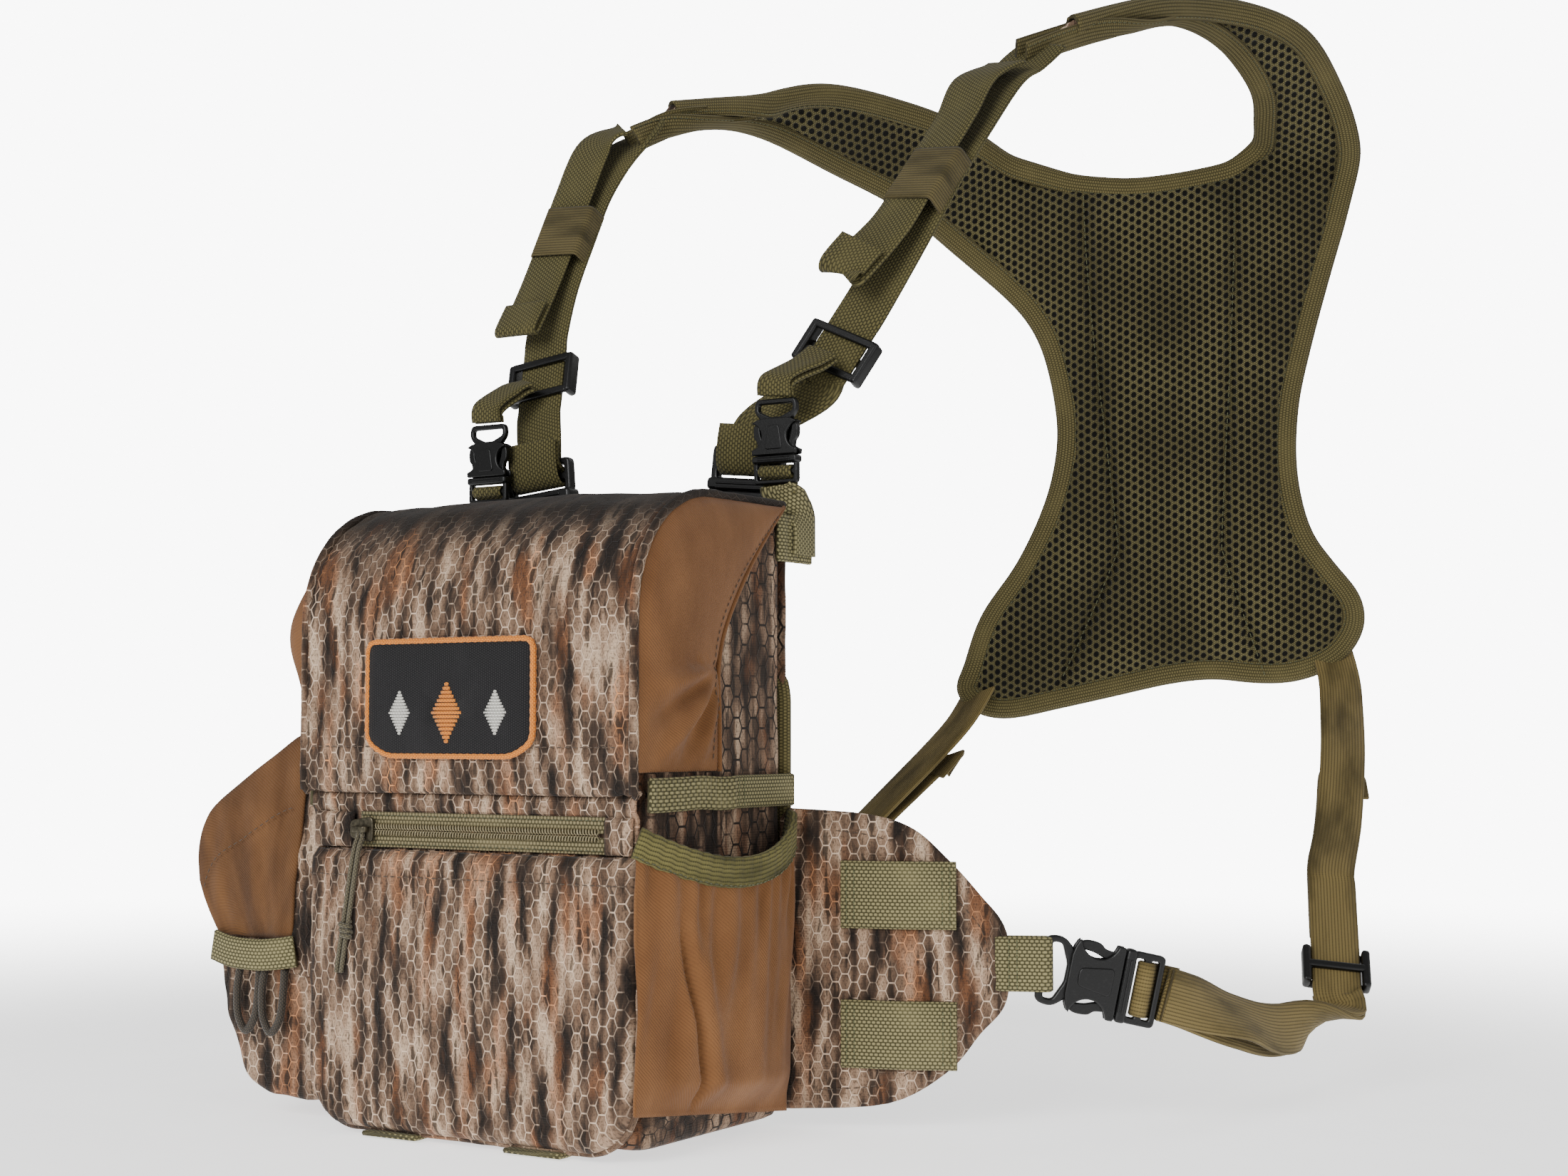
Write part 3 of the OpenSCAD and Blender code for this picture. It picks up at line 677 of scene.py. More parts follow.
def make_materials():
    m = MATERIALS
    m["camo"] = camo_cloth("camo_body")
    # Painted shade on the lid's crown: crown=0.95 darkens the lid's top almost to black.
    m["camo_lid"] = camo_cloth("camo_lid", accent=(224, 152, 98), crown=0.95)
    m["camo_side"] = camo_cloth("camo_side", wide=11.6, tall=7.6, line=(30, 23, 18),
                                accent=(38, 28, 20), strength=1.1, shade=0.22)
    m["lining"] = woven("lining", (30, 24, 20), (58, 46, 38), 1.1, 1.1, 0.1)
    m["twill"] = twill_cloth()
    # Painted shade: the hood's twill is a darker copy of the stretch twill, for the shade the hood sits
    # in.
    m["hood"] = twill_cloth("hood_twill_painted_shade", (76, 51, 30), (112, 78, 48))
    m["webbing"] = woven("webbing_green", (56, 53, 32), (138, 130, 92), 1.3, 1.8, 0.22)
    m["strap"] = woven("webbing_strap", (44, 41, 20), (96, 89, 54), 1.25, 1.8, 0.22)
    m["binding"] = woven("binding", (52, 47, 24), (100, 91, 56), 1.5, 1.2, 0.22)
    m["elastic"] = ribbed("elastic_tan", (68, 58, 30), (112, 97, 58), 1.3, 0.16)
    m["elastic_green"] = ribbed("elastic_green", (52, 50, 24), (106, 100, 58), 1.5, 0.3)
    m["keeper"] = ribbed("keeper_elastic", (50, 44, 23), (90, 80, 50), 1.3, 0.2)
    m["mesh"] = spacer_mesh()
    m["black"] = plastic("buckle_black", (6, 6, 6), (26, 26, 26), 0.36)
    m["tape"] = woven("zip_tape", (60, 55, 34), (132, 122, 90), 1.5, 1.5, 0.25)
    m["coil"] = plastic("zip_coil", (122, 112, 84), (176, 166, 136), 0.4)
    m["slider"] = metal("zip_slider", (58, 54, 44), (92, 86, 70))
    m["cord"] = braided("cord_olive", (50, 44, 30), (98, 90, 66))
    m["cord_dark"] = braided("cord_dark", (20, 17, 12), (64, 54, 40))
    m["thread"] = braided("thread_brown", (58, 44, 32), (96, 76, 56))
    m["thread_green"] = braided("thread_green", (58, 60, 38), (104, 106, 70))
    m["thread_amber"] = braided("thread_amber", (176, 92, 12), (224, 140, 40))
    m["thread_pale"] = braided("thread_pale", (168, 166, 158), (224, 222, 214))
    m["patch"] = woven("badge_twill", (10, 10, 11), (38, 37, 38), 0.9, 0.9, 0.15)
    m["foam"] = soft_foam()


def finish_piece(made, body, slot, *nodes):
    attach(made, body)
    if nodes:
        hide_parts(*nodes)
    return made


# ---- Lid ----
def lid_profile():
    """The lid's outer line in (y, z), from its lower hem up the front and over the top."""
    hem = [(-100.2, 0.6), (-102.4, -0.9), (-103.8, 0.6)]
    front = [(LID_FRONT, z) for z in np.linspace(3, LID_TOP - LID_R - 4, 16)]
    centre = np.array((LID_FRONT + LID_R, LID_TOP - LID_R))
    angles = np.linspace(math.pi, math.pi / 2, 19)
    crown = [centre + LID_R * np.array((math.cos(a), math.sin(a))) for a in angles]
    top = [(y, LID_TOP) for y in np.linspace(LID_FRONT + LID_R + 5, -8.5, 10)]
    return resample(np.array([*hem, *front, *crown, *top]), 84)


def make_lid():
    profile = lid_profile()
    along = unit(np.gradient(profile, axis=0))
    out = np.stack([-along[:, 1], along[:, 0]], axis=1)
    run = lengths(profile)
    across = np.sin(np.linspace(-1, 1, 57) * math.pi / 2) * 0.35 + np.linspace(-1, 1, 57) * 0.65
    points = np.zeros((len(profile), len(across), 3))
    uv = np.zeros((len(profile), len(across), 2))
    for i, (y, z) in enumerate(profile):
        for j, a in enumerate(across):
            x = a * LID_HALF
            edge = LID_HALF - abs(x)
            roll = -2.4 * max(0, 1 - edge / 3.5) ** 2
            pillow = 1.6 * (1 - a * a) * smooth(run[i] / 30)
            seam = -0.8 * math.exp(-((edge - 6) / 1.6) ** 2)
            pucker = 0.35 * math.sin(run[i] / 2.9 + 3 * x) * math.exp(-edge / 9)
            dent = 1.1 * wobble((x, y, z), 34, 3) + 0.45 * wobble((x, y, z), 13, 9)
            crease = 0.5 * math.sin(run[i] / 3.4 + wobble((x, 0, 0), 22) * 2)
            crease *= float(smooth((run[i] - 66) / 16) * smooth((126 - run[i]) / 16)) * 0.8
            lift = roll + pillow + seam + pucker + dent * smooth(run[i] / 12) + crease
            points[i, j] = (x, y + out[i, 0] * lift, z + out[i, 1] * lift)
            uv[i, j] = (x, run[i])
    shape = Shape()
    shape.grid(points, uv)
    lid = shape.make("lid", MATERIALS["camo_lid"], MATERIALS["lining"])
    thicken(lid, 4.0, inner_slot=1)
    finish_piece(lid, "lid", "camo_lid", "lid_panel")
    for side in (RIGHT, LEFT):
        make_lid_edge(profile, out, side)
    hem = [(x, profile[9][0] - 1.7, profile[9][1]) for x in np.linspace(-70, 70, 60)]
    sewn = stitches("lid_hem_stitches", hem, MATERIALS["thread"])
    finish_piece(sewn, "lid", "camo_lid")


def make_lid_edge(profile, out, side):
    """The rolled seam that closes one end of the lid."""
    line = [(side * (LID_HALF - 0.6), y - 0.6 * o[0], z - 0.6 * o[1])
            for (y, z), o in zip(profile, out)]
    radius = [1.7 + 0.25 * wobble(p, 5, 4) for p in line]
    shape = Shape()
    shape.tube(line, np.array(radius), sides=10)
    name = "lid_seam_right" if side == RIGHT else "lid_seam_left"
    finish_piece(shape.make(name, MATERIALS["camo_lid"]), "lid", "camo_lid")


def gusset_edges():
    """The gusset's rear and front edges in (y, z), matched from top to bottom."""
    rear = spline([(-10, 105.5), (-24, 92), (-38, 76), (-50, 58), (-54, 44), (-53.5, 28),
                   (-53, 7.5)], 8)
    centre = np.array((LID_FRONT + LID_R, LID_TOP - LID_R))
    crown = [centre + (LID_R - 1.6) * np.array((math.cos(a), math.sin(a)))
             for a in np.linspace(math.pi / 2, math.pi, 14)]
    front = [(-10, 105.5), (-34, 105.5), *crown, (-102.4, 30), (-102.4, 7.5)]
    return resample(rear, 61), resample(front, 61)


def gusset_folds(p, dart):
    """Ridges that run down and forward from the dart, with valleys between them."""
    height = 0
    for target, size in (((-103, 36), 3.6), ((-101, 22), -3.2), ((-94, 10), 4.2),
                         ((-80, 6), -3.2), ((-67, 8), 2.8)):
        along = np.array(target) - dart
        length = np.linalg.norm(along)
        along /= length
        run = float((p - dart) @ along)
        off = float((p - dart) @ (-along[1], along[0]))
        share = float(smooth(run / 10) * smooth((length - run) / 16))
        height += size * share * math.exp(-(off / 2.9) ** 2)
    return height


def make_gusset(side):
    """Stretch twill between the lid's end and its rear edge, with a sewn dart."""
    rear, front = gusset_edges()
    columns = 33
    points = np.zeros((len(rear), columns, 3))
    uv = np.zeros((len(rear), columns, 2))
    dart = np.array((-54.0, 45.0))
    for i, (r, f) in enumerate(zip(rear, front)):
        for j, s in enumerate(np.linspace(0, 1, columns)):
            p = r + (f - r) * s
            away = p - dart
            folds = gusset_folds(p, dart)
            tuck = -2.2 * math.exp(-(away[1] / 1.4) ** 2) * float(smooth((24 + away[0] * -1) / 9)
                                                                 * smooth((26 + away[0]) / 8))
            bulge = 4.5 * math.sin(math.pi * s) ** 0.7
            if side == LEFT:
                bulge += (17 * math.exp(-((s - 0.78) / 0.2) ** 2)
                          * math.exp(-((p[1] - 55) / 25) ** 2))
            bulge *= math.sin(math.pi * min(1, i / (len(rear) - 1) + 0.02)) ** 0.5
            bulge *= float(smooth((1 - s) / 0.1))
            x = HALF + 1.5 + bulge + (folds + tuck) * math.sin(math.pi * min(1, s + 0.1)) ** 0.3
            points[i, j] = (side * max(x, HALF + 1.2), *p)
            uv[i, j] = p
    shape = Shape()
    shape.grid(points[:, ::side], uv[:, ::side])
    name = "right" if side == RIGHT else "left"
    made = shape.make(f"gusset_{name}", MATERIALS["twill"])
    thicken(made, 1.1)
    subdivide(made)
    finish_piece(made, "lid", "stretch_twill", f"lid_gusset_{name}")
    edge = [(side * (HALF + 1.8), y, z) for y, z in rear]
    hem = Shape()
    hem.tube(edge, 1.0, sides=8)
    finish_piece(hem.make(f"gusset_hem_{name}", MATERIALS["twill"]), "lid", "stretch_twill")
    line = [(points[i, 3][0] + side * 0.35, *points[i, 3][1:]) for i in range(3, len(rear) - 2)]
    sewn = stitches(f"gusset_stitches_{name}", line, MATERIALS["thread"], 2.8, 1.9, 0.4)
    finish_piece(sewn, "lid", "stretch_twill")


def make_badge():
    """A plain woven patch with a merrowed border and three small diamonds."""
    low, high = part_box("lid_badge")
    x0, z0 = low.x / MM, low.z / MM
    x1, z1 = high.x / MM, high.z / MM
    y = LID_FRONT - 1.7
    outline = np.array(rounded([(x0, z1), (x1, z1), (x1, z0 + 5), (x1 - 9, z0), (x0 + 9, z0),
                                (x0, z0 + 5)], 4, 6))
    middle = outline.mean(axis=0)
    rings = [middle + (outline - middle) * s for s in (0.02, 0.35, 0.65, 0.9, 0.97, 1.0)]
    lift = [-1.9, -1.9, -1.8, -1.6, -1.3, 0.4]
    points = [[(p[0], y + d, p[1]) for p in ring] for ring, d in zip(rings, lift)]
    uv = [[tuple(p) for p in [*ring, ring[0]]] for ring in rings]
    shape = Shape()
    shape.grid(points, uv, wrap=True)
    face = shape.make("badge", MATERIALS["patch"])
    thicken(face, 0.6, offset=1)
    finish_piece(face, "lid", "badge", "lid_badge")
    border = resample(np.array([(p[0], y - 1.2, p[1]) for p in [*outline, outline[0]]]), 240)
    turns = np.arange(240) * 1.9
    wrap = Shape()
    wrap.tube(border, 1.15 + 0.12 * np.sin(turns), sides=8)
    finish_piece(wrap.make("badge_border", MATERIALS["thread_amber"]), "lid", "badge")
    for k, x in enumerate((-22, 0, 22)):
        diamond = Shape()
        centre = np.array((middle[0] + x, y - 2.2, middle[1]))
        size = (8, 11, 8)[k]
        for row in np.linspace(-0.92, 0.92, 15):
            half = size * 0.62 * (1 - abs(row))
            ends = [centre + (a * half, 0.25 * abs(a) ** 3, row * size) for a in
                    (-1, -0.6, 0, 0.6, 1)]
            diamond.tube(ends, size * 0.062 + 0.12, sides=6)
        name = f"badge_diamond_{k + 1}"
        paint = MATERIALS["thread_pale" if k != 1 else "thread_amber"]
        finish_piece(diamond.make(name, paint), "lid", "badge")


# ---- Main pouch ----
def pouch_ring(inset, count=160):
    """The pouch's plan outline, brought in by inset, as (x, y) from the middle of the back."""
    corners = rectangle(-HALF + inset, HALF - inset, SHELL_FRONT + inset, -6.5 - inset,
                        max(8 - inset * 0.3, 1.5))
    return resample(np.array([*corners, corners[0]]), count + 1)[:-1]


def pouch_top(y):
    """Height of the shell's rim at depth y: it follows the lid's crown."""
    if y < -59:
        return max(60.0, 62 + math.sqrt(max(0, 37.5 ** 2 - (y + 59) ** 2)) - 0.5)
    return 99.0


def make_shell():
    insets = [40, 30, 20, 8, 3.5, 1.2, 0.2, 0]
    depths = [0, 0, 0, 0, 0.4, 1.6, 3.6, 6]
    rows = [[(x, y, BASE + 1.2 + d) for x, y in pouch_ring(i)] for i, d in zip(insets, depths)]
    start = lengths(np.array([r[0] for r in rows]))
    heights = np.linspace(0, 1, 46)[1:]
    ring = pouch_ring(0)
    for h in heights:
        level = []
        for x, y in ring:
            z0 = BASE + 7.2
            z = z0 + h * (pouch_top(y) - z0)
            press = 1 - min(1, abs(abs(x) - HALF) / 8)
            push = 0.9 * wobble((x, y, z), 24, 5) * press
            level.append((x + math.copysign(push, x), y, z))
        rows.append(level)
    run = lengths(np.array([*ring, ring[0]]))
    uv = [[(u, rows[i][j % len(ring)][2] if i >= len(insets) else start[i] - start[-1] + BASE)
           for j, u in enumerate(run)] for i in range(len(rows))]
    shape = Shape()
    shape.grid(np.array(rows), uv, wrap=True)
    shape.polygon(rows[0][::-1])
    shell = shape.make("pouch_body", MATERIALS["camo_side"], MATERIALS["lining"])
    thicken(shell, 3.4, inner_slot=1)
    finish_piece(shell, "pouch", "camo_body", "pouch_shell")


def make_front_pocket():
    top, radius = -21.2, 22
    rows = [*np.linspace(top, BASE + radius, 26),
            *(BASE + radius - radius * np.sin(np.linspace(0.09, 1, 15) * math.pi / 2))]
    across = np.linspace(-1, 1, 61)
    spread = np.sign(across) * (1 - (1 - np.abs(across)) ** 1.5)
    points = np.zeros((len(rows), len(spread), 3))
    uv = np.zeros((len(rows), len(spread), 2))
    for i, z in enumerate(rows):
        fall = max(0, BASE + radius - z)
        half = HALF - 1 - radius + math.sqrt(max(0, radius ** 2 - fall ** 2))
        for j, a in enumerate(spread):
            x = a * half
            edge = min(half - abs(x), (z - BASE) * 1.0)
            roll = 6.2 * (1 - math.sqrt(max(0, 1 - max(0, 1 - edge / 6.5) ** 2)))
            tuck = 3.0 * float(smooth(1 - (top - z) / 2.2))
            seam = 0.7 * math.exp(-((edge - 8.5) / 1.3) ** 2)
            belly = 1.6 * (1 - a * a) * math.sin(math.pi * min(1, (top - z) / 101))
            dent = 1.2 * wobble((x, 0, z), 38, 11) + 0.5 * wobble((x, 0, z), 13, 2)
            dent *= float(smooth(edge / 10))
            pucker = 0.4 * math.sin(z / 2.1) * math.exp(-edge / 7)
            points[i, j] = (x, LID_FRONT + roll + tuck + seam - belly + dent + pucker, z)
            uv[i, j] = (x + 31, z + 7)
    shape = Shape()
    shape.grid(points[::-1], uv[::-1])
    pocket = shape.make("front_pocket", MATERIALS["camo"])
    thicken(pocket, 1.3)
    finish_piece(pocket, "pouch", "camo_body", "front_pocket")
    piping = [p + (0, 0.2, 0) for p in
              [*points[3:, 0], *points[-1, 1:-1], *points[:2:-1, -1]]]
    edge = Shape()
    line = resample(np.array(piping), 200)
    edge.tube(line, np.array([1.5 + 0.2 * wobble(p, 5, 8) for p in line]), sides=8)
    finish_piece(edge.make("front_pocket_seam", MATERIALS["camo"]), "pouch", "camo_body")
    sewn = stitches("front_pocket_stitches", points[3, 2:-2] - (0, 0.35, 0), MATERIALS["thread"])
    finish_piece(sewn, "pouch", "camo_body")


def make_zip_backing():
    """The crumpled strip between the lid and the pocket, under the zip's tape."""
    levels = np.linspace(-22.4, 1.5, 22)
    line = np.linspace(-HALF + 0.8, HALF - 0.8, 110)
    points = np.zeros((len(levels), len(line), 3))
    uv = np.zeros((len(levels), len(line), 2))
    for i, z in enumerate(levels):
        ruck = float(smooth((z + 8.6) / 3)) * float(smooth((1.5 - z) / 4))
        for j, x in enumerate(line):
            fold = 1.0 * math.sin(x / 3.1 + 2.4 * wobble((x, 0, z), 17, 6)) * ruck
            roll = -1.6 * ruck
            points[i, j] = (x, -98.6 + roll + fold * 0.7, z)
            uv[i, j] = (x, z * 1.1)
    shape = Shape()
    shape.grid(points, uv)
    made = shape.make("zip_backing", MATERIALS["camo"])
    thicken(made, 0.9)
    finish_piece(made, "pouch", "camo_body", "lid_hinge_strip")


def make_zip():
    shape = Shape()
    for z0, z1 in ((ZIP_Z - 6.4, ZIP_Z - 0.7), (ZIP_Z + 0.7, ZIP_Z + 6.4)):
        line = np.linspace(ZIP_X[0], ZIP_X[1], 60)
        levels = np.linspace(z0, z1, 7)
        points = [[(x, -100.1 + 0.25 * wobble((x, 0, z), 14, 1), z) for x in line]
                  for z in levels]
        shape.grid(points, [[(z * 1.0, x) for x in line] for z in levels])
    tape = shape.make("zip_tape", MATERIALS["tape"])
    thicken(tape, 0.8)
    finish_piece(tape, "pouch", "zip_tape", "zip_tape")
    coil = Shape()
    for sign in (RIGHT, LEFT):
        turn = np.arange(0, 84 * 8 + 1) * math.pi / 4
        x = ZIP_X[0] + 3 + turn / (2 * math.pi) * 1.26
        z = ZIP_Z + sign * (1.15 + 0.95 * np.cos(turn))
        coil.tube(np.stack([x, -100.9 - 0.6 * np.sin(turn), z], axis=1), 0.3, sides=5)
    finish_piece(coil.make("zip_coil", MATERIALS["coil"]), "pouch", "zip_metal")
    for k, (x0, x1) in enumerate(((-HALF + 2, ZIP_X[0] - 3), (ZIP_X[1] - 0.5, HALF - 2))):
        make_zip_tab(k + 1, x0, x1)
    sewing = [[(x, -100.6, z) for x in np.linspace(*ZIP_X, 50)] for z in (-19.2, -8.9)]
    for k, line in enumerate(sewing):
        sewn = stitches(f"zip_stitches_{k + 1}", line, MATERIALS["thread_green"], 2.8, 1.9, 0.35)
        finish_piece(sewn, "pouch", "zip_tape")


def make_zip_tab(number, x0, x1):
    """A folded cloth end over the zip's tape."""
    line, levels = np.linspace(x0, x1, 15), np.linspace(-21, -7.6, 13)
    points = np.zeros((len(levels), len(line), 3))
    uv = np.zeros((len(levels), len(line), 2))
    for i, z in enumerate(levels):
        for j, x in enumerate(line):
            edge = min(x - x0, x1 - x, z + 21, -7.6 - z)
            swell = 1.9 * float(smooth(edge / 1.8)) + 0.6 * wobble((x, 0, z), 6, 5)
            points[i, j] = (x, -99.9 - swell, z)
            uv[i, j] = (x, z)
    shape = Shape()
    shape.grid(points, uv)
    made = shape.make(f"zip_tab_{number}", MATERIALS["camo"])
    thicken(made, 0.8)
    subdivide(made)
    nodes = ["zip_end_tabs"] if number == 1 else []
    finish_piece(made, "pouch", "camo_body", *nodes)


def make_slider():
    x, y = -47, -101.8
    body = moulded([rounded([(-6, -3.2), (5, -4.8), (5, 4.8), (-6, 3.2)], 2.2)], 0, 1.1, 0.35)
    lug = moulded([rounded([(-3.6, 0.6), (3.6, 0.6), (3.2, 3.9), (-3.2, 3.9)], 1.4),
                   rounded([(-1.7, 1.6), (1.7, 1.6), (1.5, 3.1), (-1.5, 3.1)], 0.7)],
                  -1.1, 1.1, 0.3)
    lug.transform(Matrix.Rotation(math.radians(90), 4, "X"))
    matrix = Matrix.Translation((x, y, ZIP_Z)) @ Matrix.Rotation(math.radians(90), 4, "X")
    made = placed("zip_slider", [body, lug], matrix, MATERIALS["slider"])
    finish_piece(made, "slider", "zip_metal", "zip_slider")


# ---- Cords ----
CORD_ROUTE = [(-47, -103.8, -17), (-47.3, -105.4, -21), (-48.5, -106.2, -31),
              (-50, -106.4, -41), (-51.5, -106.5, -50), (-53, -106.4, -58),
              (-54.5, -106.2, -66)]
CORD_D = 1.8
LANYARD_LOOP = [(-5, -94.5, -68.4), (-5.5, -95.5, -76), (-4.5, -96, -86), (0, -96.2, -92),
                (4.5, -96, -86), (5.5, -95.5, -76), (5, -94.5, -68.4)]
LANYARD_D = 3.0


def declare_cord(line):
    lengths(line)[-1] * MM


def make_pull():
    """The zip's pull: a cord folded through the slider's eye, knotted below it."""
    centre = spline(CORD_ROUTE, 6)
    knot = Shape()
    middle = np.array(CORD_ROUTE[4])
    turn = np.linspace(0, 6 * math.pi, 60)
    coil = np.stack([middle[0] + 1.9 * np.cos(turn) + 0.3 * turn / 6,
                     middle[1] + 1.5 * np.sin(turn), middle[2] + 2.6 - turn / 3.4], axis=1)
    knot.tube(coil, 0.95, sides=8)
    knot = finish_piece(knot.make("pull_knot", MATERIALS["cord"]), "pull", "cord_olive")
    eye = Shape()
    angles = np.linspace(0, math.pi, 14)
    arc = [(-47 - 1.1 * math.cos(a), -103.8, -17 + 2.6 * math.sin(a)) for a in angles]
    eye.tube(arc, CORD_D / 2, sides=8)
    eye = finish_piece(eye.make("pull_eye_loop", MATERIALS["cord"]), "pull", "cord_olive")
    for sign, name in ((LEFT, "left"), (RIGHT, "right")):
        line = centre + (1.1 * sign, 0, 0)
        shape = Shape()
        shape.tube(line, CORD_D / 2, sides=10)
        strand = shape.make(f"pull_strand_{name}", MATERIALS["cord"])
        nodes = ["zip_cord"] if sign == LEFT else []
        finish_piece(strand, "pull", "cord_olive", *nodes)
        declare_cord(line)


def make_lanyard():
    """Two loops of cord that hang from under the side pouch's band."""
    for number, x in enumerate((-111, -98)):
        line = spline([np.array(p) + (x, 0, 0) for p in LANYARD_LOOP], 6)
        shape = Shape()
        shape.tube(line, LANYARD_D / 2, sides=10)
        loop = shape.make(f"lanyard_loop_{number + 1}", MATERIALS["cord_dark"])
        nodes = ["side_pouch_lanyard"] if number == 0 else []
        finish_piece(loop, "hood", "cord_dark", *nodes)
        declare_cord(line)


# ---- Stretch pocket and bands ----
def pocket_line(share):
    """The mouth of the stretch pocket: its (y, z) and how far it stands out."""
    y = -102 + 96 * share
    z = -17 - 13.5 * math.sin(math.pi * share) ** 0.9 + 3.5 * share
    out = 14 * math.sin(math.pi * share ** 1.35) ** 0.6
    return y, z, out


def make_stretch_pocket():
    columns, rows = 111, 61
    points = np.zeros((rows, columns, 3))
    uv = np.zeros((rows, columns, 2))
    for j in range(columns):
        share = j / (columns - 1)
        y, top, out = pocket_line(share)
        low = -107.5 - 11 * share
        for i in range(rows):
            b = i / (rows - 1)
            z = low + (top - low) * b
            form = float(smooth(b / 0.16)) * (0.8 + 0.2 * b)
            below = (1 - b) * (top - low)
            gather = math.sin(share * 62 + 2.5 * wobble((share * 60, 0, 0), 14, 2))
            gather *= 1.5 * math.exp(-below / 24)
            folds = (3.2 * wobble((share * 96 - z * 0.15, z * 0.16, 0), 9, 7)
                     * math.exp(-((b - 0.6) / 0.5) ** 2))
            crease = 0.36 - 0.2 * b
            side = share - crease
            pleat = (-6.5 * math.exp(-((side + 0.014) / 0.015) ** 2)
                     + 3.0 * math.exp(-((side - 0.045) / 0.045) ** 2)) * float(smooth((0.86 - b) / 0.3))
            free = form * float(smooth(below / 9 + 0.06))
            x = HALF + 0.5 + max(0.2, out * form + (gather + folds + pleat) * free)
            points[i, j] = (x, y, z)
            uv[i, j] = (y * 1.1, z)
    shape = Shape()
    shape.grid(points, uv)
    pocket = shape.make("stretch_pocket", MATERIALS["twill"])
    thicken(pocket, 1.0)
    finish_piece(pocket, "pouch", "stretch_twill", "stretch_pocket")
    hem = []
    for share in np.linspace(0, 1, 90):
        y, z, out = pocket_line(share)
        ruffle = 0.35 * math.sin(share * 118)
        hem.append((HALF + 0.9 + out + ruffle * 0.6, y, z + 1.2 + ruffle * 0.3))
    hem = np.array(hem)
    along = unit(np.gradient(hem, axis=0))
    up = unit(np.array((0.05, 0, 1)) - (along @ (0.05, 0, 1))[:, None] * along)
    band = Shape()
    band.sweep(hem, up, np.cross(along, up), band_section(11, 2.6))
    made = band.make("stretch_pocket_hem", MATERIALS["elastic_green"])
    finish_piece(made, "pouch", "elastic_tan", "stretch_pocket_hem")
    line = hem - up * 4.6 + np.cross(up, along) * -1.5
    sewn = stitches("pocket_hem_stitches", line, MATERIALS["thread_green"], 2.4, 1.8, 0.45)
    finish_piece(sewn, "pouch", "elastic_tan")


def make_band(side):
    """A gathered band across the pouch's side, flat where its end is sewn down."""
    line = []
    for y in np.linspace(-97, -4, 150):
        loose = float(smooth((-41 - y) / 6))
        x = HALF + 1.9 + 0.35 * math.sin(y * 1.9) * loose + 0.9 * loose
        line.append((side * x, y, 0.8 * wobble((y, 0, 0), 20) * loose))
    line = np.array(line)
    along = unit(np.gradient(line, axis=0))
    up = unit(np.array((0, 0, 1.0)) - along[:, 2:] * along)
    shape = Shape()
    shape.sweep(line, up, np.cross(along, up), band_section(12, 1.8))
    name = "right" if side == RIGHT else "left"
    made = shape.make(f"band_{name}", MATERIALS["webbing"])
    finish_piece(made, "pouch", "webbing_green", f"band_{name}")
    for y in (-42, -38.5):
        row = [(side * (HALF + 3.0), y, z) for z in np.linspace(-5, 5, 12)]
        sewn = stitches(f"band_tack_{name}_{abs(int(y))}", row, MATERIALS["thread_green"], 1.6, 1.2)
        finish_piece(sewn, "pouch", "webbing_green")


# ---- Side pouch ----
def prism(outline, low, high, frame_of):
    """A closed solid between two copies of an outline; frame_of(a, depth, b) places a point."""
    outline = resample(np.array([*outline, outline[0]]), 120)[:-1]
    shape = Shape()
    rows = [[frame_of(p[0], depth, p[1]) for p in outline] for depth in (low, high)]
    shape.grid(np.array(rows), np.zeros((2, len(outline) + 1, 2)), wrap=True, ends=True)
    return shape


def rumple(piece, size, amount, seed=0.0):
    """Small soft dents, along the surface's own normals."""
    points = coordinates(piece)
    normals = np.array([v.normal for v in piece.data.vertices])
    lift = np.array([wobble(p, size, seed) + 0.45 * wobble(p, size / 2.4, seed) for p in points])
    set_coordinates(piece, points + normals * lift[:, None] * amount)


def make_side_pouch():
    """A soft box of camo: crowned front and back, rounded edges and a rumpled skin."""
    corners = [(-81, 15), (-90, 13), (-128, -9), (-135, -24), (-135, -58), (-125, -99),
               (-112, -117), (-81, -117)]
    ring = rounded(corners, 8)
    outline = resample([*ring, ring[0]], 150)[:-1]
    centre = np.array((-99.0, -50.0))
    half = [(share, 3.2 * (1 - share**2)) for share in np.linspace(0.02, 0.95, 16)]
    half += [(0.95 + 0.05 * math.sin(a), -4 * (1 - math.cos(a)))
             for a in np.linspace(0.25, math.pi / 2, 5)]
    sides = [(1 + 0.015 * math.sin(math.pi * t), -89.5 + 5 + 63 * t)
             for t in np.linspace(0.05, 0.95, 16)]
    profile = [(share, -89.5 - proud) for share, proud in half] + sides
    profile += [(share, -16.5 + proud) for share, proud in half[::-1]]
    rows = [[(*(centre + (p - centre) * share), depth) for p in outline]
            for share, depth in profile]
    points = np.array(rows)[:, :, [0, 2, 1]]
    shape = Shape()
    shape.grid(points, np.zeros((len(profile), len(outline) + 1, 2)), wrap=True, ends=True)
    pouch = shape.make("side_pouch", MATERIALS["camo"])
    rumple(pouch, 21, 2.0, 3)
    lay_cloth(pouch, (0.85, 0.55, 0))
    pouch.data.shade_smooth()
    finish_piece(pouch, "pouch", "camo_body", "side_pouch")
    make_pouch_gusset()


